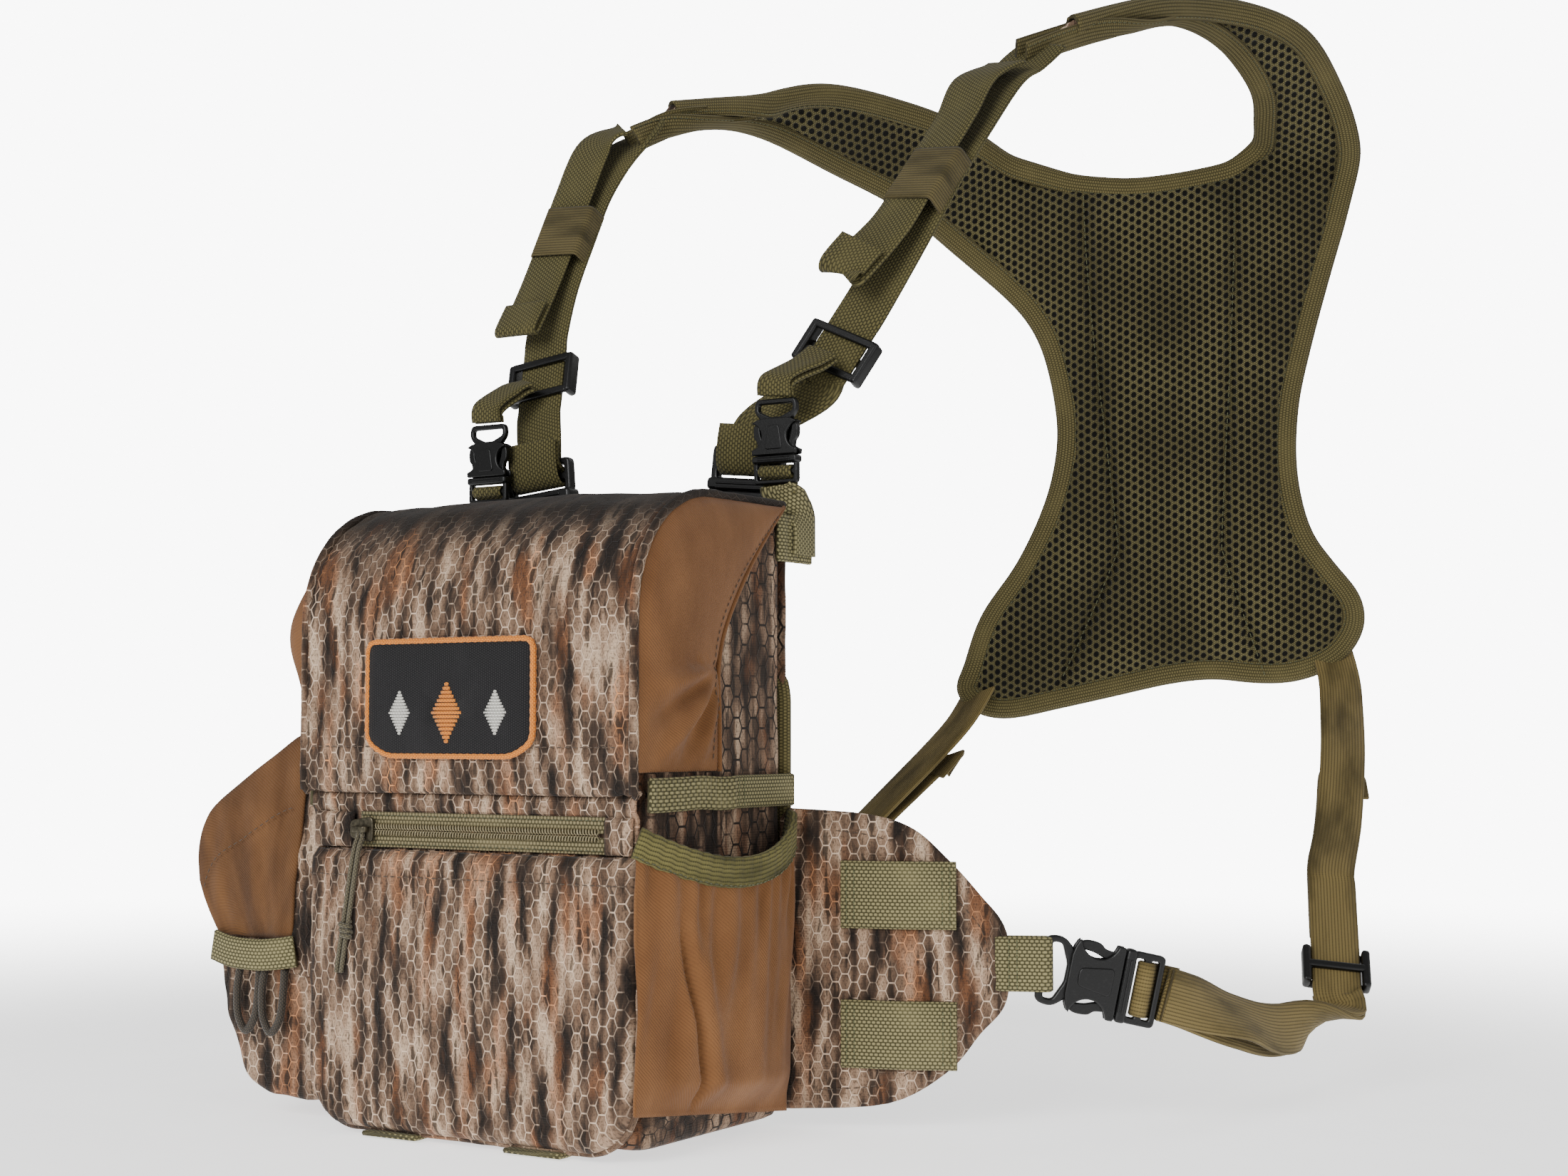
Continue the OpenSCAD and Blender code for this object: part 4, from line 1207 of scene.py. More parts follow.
def make_pouch_gusset():
    """The crumpled cloth between the side pouch and the main one."""
    points = np.zeros((46, 17, 3))
    uv = np.zeros((46, 17, 2))
    for i, z in enumerate(np.linspace(-70, 2, 46)):
        for j, x in enumerate(np.linspace(-91, -75.5, 17)):
            fold = 2.1 * wobble((x, 0, z), 9, 8) + 1.2 * wobble((x * 2, 0, z), 5, 1)
            points[i, j] = (x, -91.5 - 2.2 + fold, z + 1.5 * wobble((x, z, 0), 8))
            uv[i, j] = (x, z)
    shape = Shape()
    shape.grid(points, uv)
    made = shape.make("side_pouch_gusset", MATERIALS["camo"])
    thicken(made, 0.9)
    subdivide(made)
    finish_piece(made, "pouch", "camo_body")


def make_hood():
    """One sheet of stretch twill over the side pouch's top, outer shoulder and front."""
    top = spline([(-80.5, 22.2), (-91, 19.5), (-112, 7), (-131, -4.6), (-138.5, -13),
                  (-141.4, -23), (-140.6, -34)], 6)
    count = len(top)
    flap_x = np.linspace(-90, -128, count)
    rows = []
    for k, ((x, z), fx) in enumerate(zip(top, flap_x)):
        down = np.array((fx - x, -57 - z))
        reach = np.linalg.norm(down)
        down = down / reach
        share = k / (count - 1)
        column = [np.array((x, y, z)) for y in np.linspace(-14, -90.4, 26)]
        for a in np.linspace(0.2, 1, 5) * math.pi / 2:
            fall = 3.9 * (1 - math.cos(a))
            column.append(np.array((x + down[0] * fall, -90.4 - 3.9 * math.sin(a),
                                    z + down[1] * fall)))
        for s in np.linspace(0.07, 1, 26):
            move = 3.9 + (reach - 3.9) * s
            bow = 2.2 * math.sin(math.pi * s) * math.sin(math.pi * (0.1 + 0.8 * share))
            here = np.array((x + down[0] * move, -94.3 - bow, z + down[1] * move))
            fold = 0.9 * wobble((here[0] * 1.6, 0, here[2] * 0.5), 12, 4)
            column.append(here + (0, fold, 0))
        rows.append(column)
    points = np.array(rows)
    points[..., 2] += np.array([[0.8 * wobble(p, 18, 5) for p in row] for row in points])
    run = np.array([lengths(row) for row in points])
    across = lengths(top)
    uv = np.stack([np.broadcast_to(across[:, None], run.shape), run], axis=2)
    shape = Shape()
    shape.grid(points, uv)
    # The hood's material is the stretch twill darkened as painted shade.
    hood = shape.make("side_pouch_hood", MATERIALS["hood"])
    thicken(hood, 1.2, offset=1)
    finish_piece(hood, "hood", "stretch_twill", "side_pouch_hood")
    seam = [points[k, 38] + (0, -1.4, 0) for k in range(3, count - 4)]
    sewn = stitches("hood_stitches", np.array(seam), MATERIALS["thread"], 3, 2.1, 0.45)
    finish_piece(sewn, "hood", "stretch_twill")
    line = spline([(-129, -95.6, -60.5), (-118, -97.2, -62.5), (-104, -97.6, -63),
                   (-93, -96.6, -62), (-87, -95.2, -61)], 14)
    along = unit(np.gradient(line, axis=0))
    up = unit(np.array((0.1, 0, 1)) - (along @ (0.1, 0, 1))[:, None] * along)
    band = Shape()
    band.sweep(line, up, np.cross(along, up), band_section(12, 1.9))
    finish_piece(band.make("side_pouch_band", MATERIALS["webbing"]), "hood", "webbing_green",
                 "side_pouch_band")


# ---- Wings, rows of webbing, base and chest panel ----
WING_OUTLINE = [(0, -7), (28, -9), (45, -14), (58, -25), (70, -38), (80, -52), (80, -76),
                (70, -89), (58, -103), (36, -115), (0, -118)]


def wing_point(side):
    """Places a point of the wing's own frame: along the wing, out of it, and up."""
    c, s = math.cos(WING_TURN), math.sin(WING_TURN)
    return lambda a, depth, b: (side * (HALF + 0.3 + a * c - depth * s), a * s + depth * c, b)


def nearest(points, line):
    """How far each point is from the nearest point of a line, and which one that is."""
    tree = KDTree(len(line))
    for k, p in enumerate(line):
        tree.insert(p, k)
    tree.balance()
    found = [tree.find(p) for p in points]
    return np.array([f[2] for f in found]), np.array([f[1] for f in found])


def make_wing(side):
    """A padded wing, thin at its sewn edge, that runs in behind the pouch's side."""
    name = "right" if side == RIGHT else "left"
    place = wing_point(side)
    outline = resample([(-7, -7), *spline(WING_OUTLINE, 5), (-7, -118), (-7, -7)], 220)[:-1]
    centre = np.array((34.0, WING_Z))
    rows = []
    for face in (-1, 1):
        rings = []
        for share in np.linspace(0.02, 1, 30):
            ring = []
            for p in outline:
                a, b = centre + (p - centre) * share
                away = (1 - share) * np.linalg.norm(p - centre)
                thick = 0.9 + 1.9 * float(smooth(away / 9)) ** 0.6
                thick -= 0.8 * math.exp(-((away - 7.5) / 1.4) ** 2)
                soft = 0.55 * wobble((a, b, 0), 21, 4) + 0.3 * wobble((a, b, 0), 9, 1)
                depth = -3 + face * thick + soft * float(smooth(away / 10))
                ring.append(place(a, depth, b))
            rings.append(ring)
        rows += rings if face < 0 else rings[::-1]
    shape = Shape()
    points = np.array(rows)
    shape.grid(points, np.zeros((len(points), len(outline) + 1, 2)), wrap=True, ends=True)
    wing = shape.make(f"wing_{name}", MATERIALS["camo"])
    lay_cloth(wing, (math.cos(WING_TURN), side * math.sin(WING_TURN), 0))
    wing.data.shade_smooth()
    finish_piece(wing, "pouch", "camo_body", f"wing_{name}")
    seam = [place(1 + (a - 1) * 0.9, -5.1, WING_Z + (b - WING_Z) * 0.87)
            for a, b in spline(WING_OUTLINE, 5)]
    sewn = stitches(f"wing_stitches_{name}", np.array(seam), MATERIALS["thread"], 3.2, 2.2, 0.45)
    finish_piece(sewn, "pouch", "camo_body")
    make_wing_tab(name, place)


def make_wing_tab(name, place):
    """A doubled loop of webbing round the buckle's bar, sewn to the wing's tip."""
    bar = np.array((93.1, -2.1))
    loop = [bar + 2.9 * np.array((math.cos(a), math.sin(a)))
            for a in np.linspace(-1.9, 1.9, 9)]
    flat = [(76, -4.4), (82, -4.9), (88, -4.9), *loop, (88, 0.2), (82, -0.4), (76, -1.6)]
    route = [(place(a, d, WING_Z), (0, 0, 1)) for a, d in flat]
    shape = Shape()
    shape.sweep(*route_frames(route, 4), band_section(20, 1.6))
    made = shape.make(f"wing_tab_{name}", MATERIALS["webbing"])
    finish_piece(made, "pouch", "webbing_green", f"wing_tab_{name}")
    for k, a in enumerate((81, 84)):
        row = [place(a, -6.0, b) for b in np.linspace(WING_Z - 9, WING_Z + 9, 20)]
        sewn = stitches(f"wing_tack_{name}_{k + 1}", np.array(row), MATERIALS["thread_green"],
                        1.8, 1.4)
        finish_piece(sewn, "pouch", "webbing_green")


def make_rows():
    """Load-bearing rows of webbing on the wings, tacked down at their ends."""
    webs, tacks = Shape(), []
    for side in (RIGHT, LEFT):
        place = wing_point(side)
        for z in (-38.5, -89.5):
            route = [(place(a, -6.7 - 1.5 * math.sin(math.pi * (a - 19) / 43) ** 2, z), (0, 0, 1))
                     for a in np.linspace(19, 62, 12)]
            centre, up, normal = route_frames(route, 4)
            webs.sweep(centre, up, normal, band_section(25, 1.8))
            for a in (21.2, 24, 57, 59.8):
                tacks.append(np.array([place(a, -7.9, z + b) for b in np.linspace(-11, 11, 20)]))
    finish_piece(webs.make("wing_rows", MATERIALS["webbing"]), "pouch", "webbing_green",
                 "molle_webbing")
    for k, row in enumerate(tacks):
        sewn = stitches(f"row_tack_{k + 1}", row, MATERIALS["thread_green"], 1.7, 1.4)
        finish_piece(sewn, "pouch", "webbing_green")


def make_base_webbing():
    shape = Shape()
    for x in (-32.5, 32.5):
        route = [((x + 0.6 * wobble((x, y, 0), 25), y,
                   -122.5 + 0.3 * math.sin(y / 6) - 1.2 * math.exp(-((y + 101) / 9) ** 2)), (1, 0, 0))
                 for y in np.linspace(-103, -15, 26)]
        shape.sweep(*route_frames(route, 4), band_section(25, 1.7))
    finish_piece(shape.make("base_webbing", MATERIALS["webbing"]), "pouch", "webbing_green",
                 "base_webbing")


def face_camo_or_mesh(piece, toward):
    """Gives the second material to the faces that look along a direction or at a point."""
    for face in piece.data.polygons:
        face.material_index = int(toward(np.array(face.center) / MM, np.array(face.normal)) > 0.15)


def make_chest_panel():
    """The padded panel on the chest, with air mesh on the wearer's side."""
    low = rectangle(-HALF + 1, HALF - 1, -119, 47, 13)
    high = rectangle(-HALF + 1, HALF - 1, -60, 103, 13)
    shape = prism(low, -5.6, -0.9, lambda a, depth, b: (a, depth, b))
    upper = prism(high, -5.6, -3.0, lambda a, depth, b: (a, depth, b))
    panel = shape.make("chest_panel", MATERIALS["camo_side"], MATERIALS["mesh"])
    remesh(panel, 2.6)
    top = upper.make("chest_panel_top", MATERIALS["camo_side"])
    remesh(top, 1.6)
    rumple(top, 20, 0.3, 4)
    lay_cloth(top, (1, 0, 0))
    finish_piece(top, "pouch", "camo_body")
    points = coordinates(panel)
    outline = np.array([(p[0], -3, p[1]) for p in [*low, low[0]]], float)
    rim, _ = nearest(points, resample(outline, 600))
    rear = smooth((points[:, 1] + 4) / 3) * smooth((rim - 8) / 22)
    quilt = 1.2 * np.exp(-((np.abs(points[:, 0]) - 27) / 2.2) ** 2) * smooth((rim - 14) / 8)
    points[:, 1] += rear * 2.4 - quilt * (points[:, 1] > -1.5)
    set_coordinates(panel, points)
    lay_cloth(panel, (1, 0, 0))
    face_camo_or_mesh(panel, lambda centre, normal: normal[1])
    panel.data.shade_smooth()
    finish_piece(panel, "pouch", "spacer_mesh", "chest_panel")
    edge = resample(np.array([(p[0], -3.1, p[1]) for p in [*low, low[0]]]), 240)
    bind_edge("chest_binding", edge, np.broadcast_to((0.0, 1, 0), edge.shape),
              np.array((0, -3.1, -36)) - edge, 2.5, 6, closed=True)


def bind_edge(name, edge, normal, inward, half, reach, closed=False):
    """Binding tape folded over an edge, reaching inwards from it."""
    along = unit(np.gradient(edge, axis=0))
    side = unit(np.cross(normal, along))
    flip = np.sign(np.sum(side * inward, axis=1))[:, None]
    side = side * flip
    section = [(reach, half + 0.5), (reach * 0.5, half + 0.7), (1.2, half + 0.6),
               (-0.9, half * 0.6), (-1.4, 0), (-0.9, -half * 0.6), (1.2, -half - 0.6),
               (reach * 0.5, -half - 0.7), (reach, -half - 0.5), (reach, -half + 0.5),
               (1.4, -half + 0.8), (0.2, 0), (1.4, half - 0.8), (reach, half - 0.5)]
    if closed:
        edge[-1], side[-1] = edge[0], side[0]
    shape = Shape()
    shape.sweep(edge, side, unit(normal), section, ends=not closed)
    made = shape.make(name, MATERIALS["binding"])
    finish_piece(made, "pouch", "webbing_strap")
    for k, sign in enumerate((RIGHT, LEFT)):
        line = edge + side * (reach - 1.6) + unit(normal) * sign * (half + 0.75)
        sewn = stitches(f"{name}_stitches_{k + 1}", line, MATERIALS["thread_green"], 3, 2.1, 0.4)
        finish_piece(sewn, "pouch", "webbing_strap")


# ---- Side-release buckles, drawn for 25 mm webbing ----
# Local X is the way the halves part, Y the webbing's width and Z the thickness.
def plate_outline():
    """The female half's plate, with a round bite in each side where the prongs show."""
    bite = [(-4 + 8.6 * math.cos(a), 18.4 + 9.2 * math.sin(a))
            for a in np.radians(np.linspace(-12, -168, 18))]
    half = [(8, 15.5), (7.4, 16.5), (5.6, 16.6), *bite, (-13.4, 15.6), (-14.6, 13), (-15.5, 9)]
    return [*half, *[(x, -y) for x, y in half[::-1]]]


def female_meshes():
    yoke = rounded([(-12, -9), (-12, 9), (-20, 16), (-28, 14.8), (-28, -14.8), (-20, -16)], 3.4)
    eye = rounded([(-16.4, -4), (-16.4, 4), (-20.2, 12.6), (-24.6, 12.6), (-24.6, -12.6),
                   (-20.2, -12.6)], 1.6)
    return [moulded([plate_outline()], 2.0, 4.1, 0.75),
            moulded([plate_outline()], -4.1, -2.0, 0.75),
            moulded([rectangle(-15, -10.8, -7.2, 7.2, 1)], -3.6, 3.6, 0.4),
            moulded([yoke, eye], -2.1, 2.1, 0.9),
            moulded([rounded([(-11, -4), (-11, 4), (4.5, 6.5), (4.5, -6.5)], 2.5)], 3.6, 4.7, 0.5),
            moulded([rounded([(-11, -4), (-11, 4), (4.5, 6.5), (4.5, -6.5)], 2.5)],
                    -4.7, -3.6, 0.5)]


def male_meshes():
    frame_outline = rectangle(11.5, 26.2, -16.2, 16.2, 2.6)
    slots = [rectangle(13.4, 17, -13.2, 13.2, 1), rectangle(20.1, 23.5, -13.2, 13.2, 1)]
    ridges = [moulded([rectangle(x, x + 0.9, -12, 12, 0.4)], -4.5, 4.5, 0.3)
              for x in (8.9, 10.6)]
    return [moulded([rectangle(8.3, 13.2, -16.5, 16.5, 1.8)], -4, 4, 1.2),
            moulded([rectangle(-10, 9, -3, 3, 1.5)], -1.8, 1.8, 0.5),
            moulded([frame_outline, *slots], -2.1, 2.1, 0.8), *ridges]


def prong_mesh(sign, root):
    """A flexing prong that turns about (8.2, 11.5) on its own side."""
    line = spline([(root, -1.8), (-8, -1.8), (-14, 0), (-20.5, 0.8), (-21.5, 2.6), (-18, 4.8),
                   (-12, 4.6), (-9, 2.6), (-5, 2), (root, 2)], 5)
    outline = [(8.2 + x, sign * (11.5 + y)) for x, y in line]
    return moulded([outline[::sign]], -1.9, 1.9, 0.55)


def web_loop(name, matrix, body, slot, material):
    """Webbing that comes in over the ladder's inner bar and back out behind it."""
    line = [(33, -2.6), (28, -3.3), (24.6, -3.2), (22.2, -0.6), (20.8, 2.2), (18.6, 3.3),
            (16.4, 2.4), (15.1, 0), (16.2, -3), (20, -5.0), (27, -5.6), (34, -5)]
    side = matrix.to_3x3() @ Vector((0, 1, 0))
    route = [(matrix @ Vector((x, 0, z)), side) for x, z in line]
    loop = Shape()
    loop.sweep(*route_frames(route, 5), band_section(24.5 * side.length, 1.5 * side.length))
    finish_piece(loop.make(name, material), body, slot)


def flipped(matrix, side):
    return Matrix.Diagonal((side, 1, 1, 1)) @ matrix


def make_buckle(kind, name, matrix, male_body, female_body, pronged):
    """Both halves of a buckle. Prongs of their own are made by make_buckles."""
    female = placed(f"{kind}_female_{name}", female_meshes(), matrix, MATERIALS["black"])
    finish_piece(female, female_body, "buckle_black", f"{kind}_female_{name}")
    meshes = male_meshes()
    if pronged:
        meshes += [prong_mesh(sign, 0.4) for sign in (1, -1)]
    male = placed(f"{kind}_male_{name}", meshes, matrix, MATERIALS["black"])
    finish_piece(male, male_body, "buckle_black", f"{kind}_male_{name}")
    web, slot = (("elastic", "elastic_tan") if kind == "side_buckle"
                 else ("strap", "webbing_strap"))
    web_loop(f"{kind}_web_{name}", matrix, male_body, slot, MATERIALS[web])


def make_buckles():
    for side, name in ((RIGHT, "right"), (LEFT, "left")):
        place = flipped(place_matrix((181.5, 41.2, -69), (0.83, 0.52, -0.21), (0, 0, 1), 0.82),
                        side)
        make_buckle("side_buckle", name, place, f"side_male_{name}", "pouch", False)
        for sign, end in ((1, "upper"), (-1, "lower")):
            prong = placed(f"side_prong_{end}_{name}", [prong_mesh(sign, -0.35)], place,
                           MATERIALS["black"])
            finish_piece(prong, f"side_prong_{end}_{name}", "buckle_black",
                         f"side_prong_{end}_{name}")
        place = place_matrix((side * 49, 5.6, 106), (side * 0.1, 0.03, 1), (1, 0, 0))
        make_buckle("strap_buckle", name, place, f"strap_male_{name}", "pouch", True)
        place = place_matrix((side * 70, -4, 131), (0, 0, -1), (1, 0, 0), 0.6)
        make_buckle("tether_buckle", name, place, "pouch", f"tether_clip_{name}", True)


def slide_meshes(width):
    """A tri-glide: the outer bars lie over the webbing and the middle one under it."""
    across = width / 2 + 2
    rails = [moulded([rectangle(-9.2, 9.2, s * across - 1.7, s * across + 1.7, 1.5)],
                     -3.2, 3.2, 1.1) for s in (-1, 1)]
    outer = [moulded([rectangle(x, x + 3.2, -across, across, 1)], 0.9, 3.2, 0.8)
             for x in (-9.2, 6)]
    middle = moulded([rectangle(-1.7, 1.7, -across, across, 0.8)], -3.2, -0.9, 0.8)
    return [*rails, *outer, middle]


# ---- Straps ----
SIDE_A = [(219, 192, -76), (-58, 187, -72)]
SIDE_U = [unit((-0.24, 0.64, 0.73)), unit((0.49, 0.52, 0.7))]
SIDE_FACE = [(0.85, 0.53, 0), (0.9, -0.3, 0)]
TRIGLIDES = [((81, 22, 168), (-0.4, -0.36, -0.86), (1, 0, -0.4)),
             ((-59, 17, 168), (0.14, -0.32, -0.95), (1, 0, 0))]


def straight(point, along, side, steps):
    return [(np.asarray(point) + k * unit(along), side) for k in steps]


def side_routes():
    run = (-20, -11, 20, 44, 54)
    right = [((200.6, 53.2, -73.9), (0.18, 0.11, 0.98)), ((204, 66, -78), (0, 0.1, 1)),
             ((208, 95, -89), (-0.6, 0.1, 1)), ((214, 132, -95), (-0.2, 0.4, 1)),
             *straight(SIDE_A[0], SIDE_U[0], SIDE_FACE[0], run),
             ((201, 253, -17), SIDE_FACE[0]), ((193, 284, 10), SIDE_FACE[0]),
             ((183, 314, 32), SIDE_FACE[0]), ((177, 329, 47), SIDE_FACE[0]),
             ((170, 338, 63), SIDE_FACE[0])]
    left = [((-200.6, 53.2, -73.9), (-0.18, 0.11, 0.98)), ((-199, 68, -78), (0, 0.1, 1)),
            ((-180, 98, -88), (0.3, 0.1, 1)), ((-146, 128, -93), (0.3, 0.1, 1)),
            ((-100, 157, -94), (0.6, -0.2, 0.8)),
            *straight(SIDE_A[1], SIDE_U[1], SIDE_FACE[1], run),
            ((-15, 232, -11), SIDE_FACE[1]), ((2, 248, 12), SIDE_FACE[1]),
            ((11, 259, 27), SIDE_FACE[1]),
            ((15, 272, 43), SIDE_FACE[1])]
    return right, left


def shifted(route, amounts):
    """The same route moved along its own normal by an amount at each of its points."""
    points = np.array([r[0] for r in route], float)
    along = unit(np.gradient(points, axis=0))
    side = unit(np.array([r[1] for r in route], float))
    out = unit(np.cross(along, side))
    return [(p + n * a, r[1]) for p, n, a, r in zip(points, out, amounts, route)]


def make_side_straps():
    """Doubled elastic webbing from each buckle through its slide to the back pad."""
    for index, (route, name) in enumerate(zip(side_routes(), ("right", "left"))):
        shape = Shape()
        shape.sweep(*route_frames(route, 10), band_section(20, 1.7))
        count = len(route) - 10
        under = shifted(route[:count + 3], [2.2, 3.5, *[6.5] * (count - 3), 3.6, 2.4, 2.4])
        shape.sweep(*route_frames(under, 10), band_section(20, 1.7))
        tail_at = np.linspace(16, 118, 6)
        base = [route_point(route, SIDE_A[index], s) for s in tail_at]
        tail = shifted(base, [2.2, 2.6, 3.6, 4.4, 5.2, 6.2])
        end, side = tail[-1]
        turned = [(end + SIDE_U[index] * 2 + np.array((2.2, -1.5, 0)), side),
                  (end - SIDE_U[index] * 9 + np.array((3.6, -2.6, 0)), side)]
        shape.sweep(*route_frames([*tail, *turned], 8), band_section(20, 1.7))
        made = shape.make(f"side_strap_{name}", MATERIALS["elastic"])
        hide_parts(f"side_strap_{name}")
        near = np.array(route[0][0]) * MM
        far = np.array(route[3][0]) * MM
        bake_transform(made)
        place = place_matrix(SIDE_A[index], SIDE_U[index], SIDE_FACE[index])
        slide = placed(f"side_adjuster_{name}", slide_meshes(20), place, MATERIALS["black"])
        finish_piece(slide, f"adjuster_{name}", "buckle_black", f"side_adjuster_{name}")


def route_point(route, start, distance):
    """The point and side direction of a route this far past start."""
    centre = spline([r[0] for r in route], 12)
    first = np.argmin(np.linalg.norm(centre - start, axis=1))
    run = lengths(centre)
    at = [np.interp(run[first] + distance, run, centre[:, k]) for k in range(3)]
    near = np.argmin([np.linalg.norm(np.array(r[0]) - at) for r in route])
    return np.array(at), route[near][1]


def shoulder_routes():
    run = (-22, -11, 11, 18)
    right = [((126, 117, 307), (0.7, 0.6, 0.5)),
             ((120, 104, 295), (1, 0.5, 0.3)), ((117, 92, 284), (1, 0, 0.1)),
             ((113, 76, 264), (0.9, -0.2, -0.1)), ((108, 60, 242), (0.9, -0.25, -0.2)),
             ((100, 44, 215), (1, -0.1, -0.3)), *straight(*TRIGLIDES[0], run),
             ((56, 9, 142), (1, 0, -0.1)), ((52.5, 6.8, 137), (1, 0, 0)),
             ((51.9, 6.5, 133), (1, 0, 0))]
    left = [((-45, 76, 287), (0.5, 0.5, 0.6)),
            ((-49, 66.5, 278), (1, 0.1, 0.2)), ((-55, 61, 269), (1, 0, 0.1)),
            ((-61, 53, 252), (1, 0, 0.05)), ((-63, 43, 230), (1, 0, 0)),
            ((-64, 33, 208), (1, 0, 0)), *straight(*TRIGLIDES[1], run),
            ((-53.5, 8, 142), (1, 0, 0)), ((-52.2, 6.8, 137), (1, 0, 0)),
            ((-51.9, 6.5, 133), (1, 0, 0))]
    return right, left


def tail_routes():
    """The free ends, from the arm down over the front, with the end folded under."""
    right = [((117, 99, 296), (1, 0.4, 0.2)), ((111, 82, 286), (1, 0, 0)),
             ((109, 69, 268), (0.9, -0.2, -0.1)),
             ((104, 53.5, 246), (0.9, -0.25, -0.2)), ((97, 38, 221), (0.9, -0.2, -0.3)),
             ((88, 22, 202), (1, 0, -0.4)), ((85.5, 18.6, 198.6), (1, 0, -0.4)),
             ((86.5, 18.4, 202), (1, 0, -0.4)), ((91.5, 24, 211), (1, 0, -0.4))]
    left = [((-51, 62, 284), (1, 0, 0.1)), ((-61, 55, 276), (1, 0, 0.1)),
            ((-66, 47, 254), (1, 0, 0.05)), ((-68, 38, 232), (1, 0, 0)),
            ((-69, 27, 210), (1, 0, 0)), ((-68, 14, 191), (1, 0, 0)),
            ((-68, 11, 187.6), (1, 0, 0)), ((-68, 9.8, 190), (1, 0, 0)),
            ((-68.5, 17.6, 201.5), (1, 0, 0))]
    return right, left


KEEPER_ENDS = [((107.4, 61, 250), (100.8, 46.6, 228)), ((-64, 46, 245), (-66, 36.5, 223))]
KEEPER_SIDE = [(0.9, -0.25, -0.2), (1, 0, 0)]


def make_shoulder_straps():
    for index, name in enumerate(("right", "left")):
        route = shoulder_routes()[index]
        shape = Shape()
        shape.sweep(*route_frames(route, 10), band_section(22, 1.7))
        shape.sweep(*route_frames(tail_routes()[index], 10), band_section(21.5, 1.6))
        made = shape.make(f"shoulder_web_{name}", MATERIALS["strap"])
        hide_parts(f"shoulder_web_{name}")
        tuple(np.array(TRIGLIDES[index][0]) * MM)
        tuple(np.array(route[-1][0]) * MM)
        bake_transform(made)
        point, along, side = TRIGLIDES[index]
        slide = placed(f"triglide_{name}", slide_meshes(25), place_matrix(point, along, side),
                       MATERIALS["black"])
        finish_piece(slide, "pouch", "buckle_black", f"triglide_{name}")
        make_keeper(index, name)


def make_keeper(index, name):
    """An elastic sleeve round both layers of the shoulder webbing."""
    a, b = (np.array(p, float) for p in KEEPER_ENDS[index])
    centre = np.linspace(a, b, 14)
    side = np.broadcast_to(unit(KEEPER_SIDE[index]), centre.shape)
    along = unit(b - a)
    side = unit(side - np.sum(side * along, axis=1)[:, None] * along)
    normal = np.cross(np.broadcast_to(along, side.shape), side)
    outer = rectangle(-12.8, 12.8, -5.4, 5.4, 2.6)
    rows = [c + s * p[0] + n * p[1] for c, s, n in zip(centre, side, normal) for p in outer]
    points = np.array(rows).reshape(len(centre), len(outer), 3)
    around = lengths(np.array([*outer, outer[0]]))
    uv = [[(v, u) for u in around] for v in lengths(centre)]
    shape = Shape()
    shape.grid(points, uv, wrap=True)
    made = shape.make(f"keeper_{name}", MATERIALS["keeper"])
    thicken(made, 1.0)
    finish_piece(made, "pouch", "keeper_elastic", f"keeper_{name}")


TETHER_UPPER = [[((80, 14, 166), (1, 0, -0.2)), ((77, 8, 161), (1, 0, -0.1)),
                 ((71, -3.6, 154), (1, 0, 0)), ((70, -4, 148.6), (1, 0, 0))],
                [((-60, 9, 164), (1, 0, 0)), ((-64, 4, 161), (1, 0, 0)),
                 ((-69.5, -3.6, 154), (1, 0, 0)), ((-70, -4, 148.6), (1, 0, 0))]]
TETHER_LOWER = [((70, -4, 114.6), (1, 0, 0)), ((70.4, -3.8, 112.4), (1, 0, 0)),
                ((73.5, -2, 109), (1, 0.4, 0)), ((77, 1, 104.5), (0.4, 1, 0)),
                ((78.4, 2, 99), (0, 1, 0)), ((78.4, 2, 88), (0, 1, 0))]


def make_tethers():
    for index, (side, name) in enumerate(((RIGHT, "right"), (LEFT, "left"))):
        upper = Shape()
        route = TETHER_UPPER[index]
        upper.sweep(*route_frames(route, 8), band_section(15, 1.6))
        upper.sweep(*route_frames(shifted(route, [2.2, 2.6, 2.6, 2.2]), 8), band_section(15, 1.6))
        made = upper.make(f"tether_upper_{name}", MATERIALS["strap"])
        tuple(np.array(route[0][0]) * MM)
        tuple(np.array(route[-1][0]) * MM)
        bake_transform(made)
        route = [(mirrored(p, side), mirrored(s, side)) for p, s in TETHER_LOWER]
        lower = Shape()
        lower.sweep(*route_frames(route, 8), band_section(15, 1.7))
        tab = [((side * (HALF + 1.7 + 0.4 * math.sin(y)), y, 94), (0, 0, 1))
               for y in np.linspace(-14, 9, 8)]
        lower.sweep(*route_frames(tab, 4), band_section(18, 1.7))
        made = lower.make(f"tether_lower_{name}", MATERIALS["webbing"])
        finish_piece(made, "pouch", "webbing_green", f"tether_web_{name}")
        anchor = Shape()
        x = side * 46.2
        bar = [(1.6 + 2.9 * math.cos(a), 80.2 + 2.9 * math.sin(a)) for a in np.linspace(-1.2, 4, 9)]
        line = [(-1.6, 52), (-1.5, 64), (0.4, 73), (3, 77), *[(y + 1.6, z) for y, z in bar],
                (0.4, 75), (-0.8, 66), (-0.7, 54)]
        route = [((x, y, z), (1, 0, 0)) for y, z in line]
        anchor.sweep(*route_frames(route, 4), band_section(25, 1.4))
        made = anchor.make(f"strap_anchor_{name}", MATERIALS["webbing"])
        finish_piece(made, "pouch", "webbing_green", f"strap_anchor_{name}")


